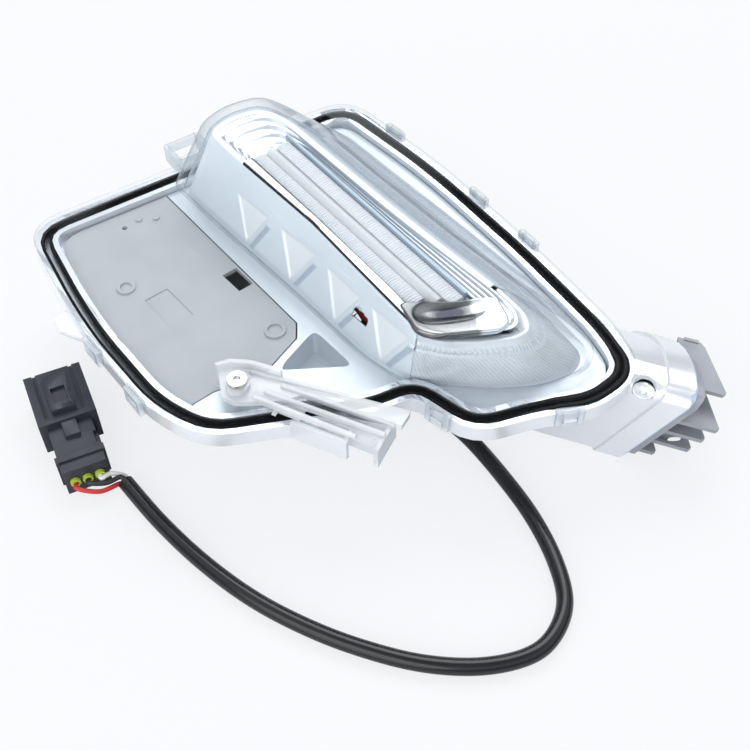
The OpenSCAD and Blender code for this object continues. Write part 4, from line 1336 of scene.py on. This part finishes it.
    def build(self) -> None:
        """Builds the bezel, the fan, the strips and the plated trim."""
        self.bezel()
        self.fan()
        self.front_strip()
        self.end_cap()
        self.reflector()
        guide_y = self.strip_y + self.strip_w + 0.5
        back_y = guide_y + self.guide_w + 0.5
        for name, y, node in (("front_flutes", self.strip_y, "flute_front"),
                              ("back_flutes", back_y, "flute_back")):
            self.strip(name, y, self.strip_w, 3.0, 0.75, 15, STRIPS, "fluted_clear", node,
                       0.4)
        self.strip("guide_bar", guide_y, self.guide_w, 3.2, 0.0, 13, GUIDE, "clear_guide",
                   "light_guide", 2.3)
        # With no tone attribute, the tray takes the bezel's darker end colour, its painted
        # shade, all over.
        rounded_node("optic_tray", BEZEL, 0.3)


@dataclass
class Bracket:
    """The clear bracket's rails, which run over the rim from its eye to its end.

    Attributes:
        rails: each rail's two ends, in plan.
        thick: a rail's thickness.
        heights: a rail's underside, and its top at either end.
    """
    rails: tuple[tuple[float, float, float, float], ...] = (
        (-19.5, -43.2, 19.0, -24.8), (-18.5, -38.4, 25.2, -16.0),
        (-17.0, -31.8, 24.4, -10.8), (-30.0, -36.8, 23.4, -2.6))
    thick: float = 1.7
    heights: tuple[float, float, float] = (DECK + 0.2, DECK + 4.0, DECK + 2.2)

    def build(self) -> None:
        """Builds the rails and the bracket's body."""
        ends = np.array(self.rails).reshape(-1, 2, 2)
        ahead = unit(ends[:, 1] - ends[:, 0])
        aside = np.stack([-ahead[:, 1], ahead[:, 0]], axis=1) * self.thick / 2
        low, first, last = self.heights
        end, side, high = BARS.T
        plan = ends[:, end] + (2 * side - 1)[:, None] * aside[:, None]
        z = np.where(high == 0, low, np.where(end == 0, first, last))
        show("bracket_rails", blocks_mesh(spots(plan[..., 0], plan[..., 1], z)), BRACKET,
             bevel=0.5)
        rounded_node("front_bracket", BRACKET, 0.4)
        rounded_node("bracket_screw", STEEL, 0.25)


@dataclass
class Housing:
    """The rear housing and what is fixed to it.

    Attributes:
        bowl: middle, height and radius of the bowl on the neck.
    """
    bowl: tuple[float, float, float, float] = (67.87, 78.44, 42.4, 4.45)

    def bowl_floor(self) -> None:
        """The bowl's rounded floor: 0.9(1 - f^2) deep at a share f of the radius."""
        x, y, z, radius = self.bowl
        f = np.linspace(0.02, 1, 10)[:, None]
        a = np.linspace(0, 2 * np.pi, 40, endpoint=False)[None]
        grid = spots(x + radius * f * np.cos(a), y + radius * f * np.sin(a),
                     z - 0.9 * (1 - f ** 2))
        show("bowl_floor", grid_mesh(grid, ring=True), HOUSING, wall=0.5)

    def build(self) -> None:
        """Builds the housing, the deck, the board, what is fixed to them and the bowl's floor.
        """
        for node, finish, slot, bevel in (
                ("rear_housing", HOUSING, "silver_housing", 0.5),
                ("deck_surround", SURROUND, "metallised_bezel", 0.4),
                ("cover_plate", PLATE, "grey_plate", 0.4),
                ("driver_board", BOARD, "green_board", 0.1),
                ("board_chips", CHIPS, "dark_chips", 0.3),
                ("vent_cap", RUBBER, "black_rubber", 0.5),
                ("cable_grommet", RUBBER, "black_rubber", 0.4),
                ("heat_sink", CAST, "cast_aluminium", 0.35),
                ("sink_gasket", GASKET, "blue_gasket", 0.2),
                ("sink_screws", STEEL, "steel_screws", 0.2),
                ("led_board", WHITE_BOARD, "white_board", 0.1),
                ("leds", PHOSPHOR, "led_yellow", 0.15)):
            rounded_node(node, finish, bevel)
        self.bowl_floor()


@dataclass
class Harness:
    """The two wires inside, from the cable up behind the window and down to the light board.

    Attributes:
        cable: the cable whose spout they leave.
        wire_d: a wire's diameter.
    """
    cable: Cable
    wire_d: float = 2.0

    def build(self) -> None:
        """Builds both wires."""
        start = (3.9, 0, -5)
        red = [self.cable.on_spout(s, -1.2) for s in start] + [
            (-49, 26.5, 35), (-42, 20.5, 44), (-31, 16, 51), (-16, 15.5, 51), (-4, 24, 44),
            (10, 44, 34), (24, 64, 28), (38, 78, 23), (49.7, 88.6, 17.2), (52.4, 91, 15.5)]
        black = [self.cable.on_spout(s, 1.2) for s in start] + [
            (-51.5, 31, 36), (-45, 24, 47), (-31, 17.6, 55), (-16, 17.2, 55.4), (-2, 25, 48),
            (12, 46, 38), (25, 64, 32.6), (39, 76.5, 27.5), (52.3, 85.6, 17.2),
            (54.9, 87.9, 15.6)]
        self.cable.run("inner_red_wire", red, self.wire_d, RED_WIRE, "harness_red",
                       "red_wire")
        self.cable.run("inner_black_wire", black, self.wire_d, BLACK_WIRE, "harness_black",
                       "black_wire")


def main() -> None:
    """Builds the lamp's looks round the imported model, piece by piece."""
    logging.basicConfig(level=logging.INFO, format="%(name)s %(message)s")
    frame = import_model()
    NODE_OBJECT.update({name: obj.name for name, obj in frame["nodes"].items()})
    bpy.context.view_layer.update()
    cable = Cable()
    for part in (Studio(), cable, ClearLens(), Sealant(), Window(), Housing(), Bracket(),
                 Harness(cable)):
        part.build()


if __name__ == "__main__":
    main()
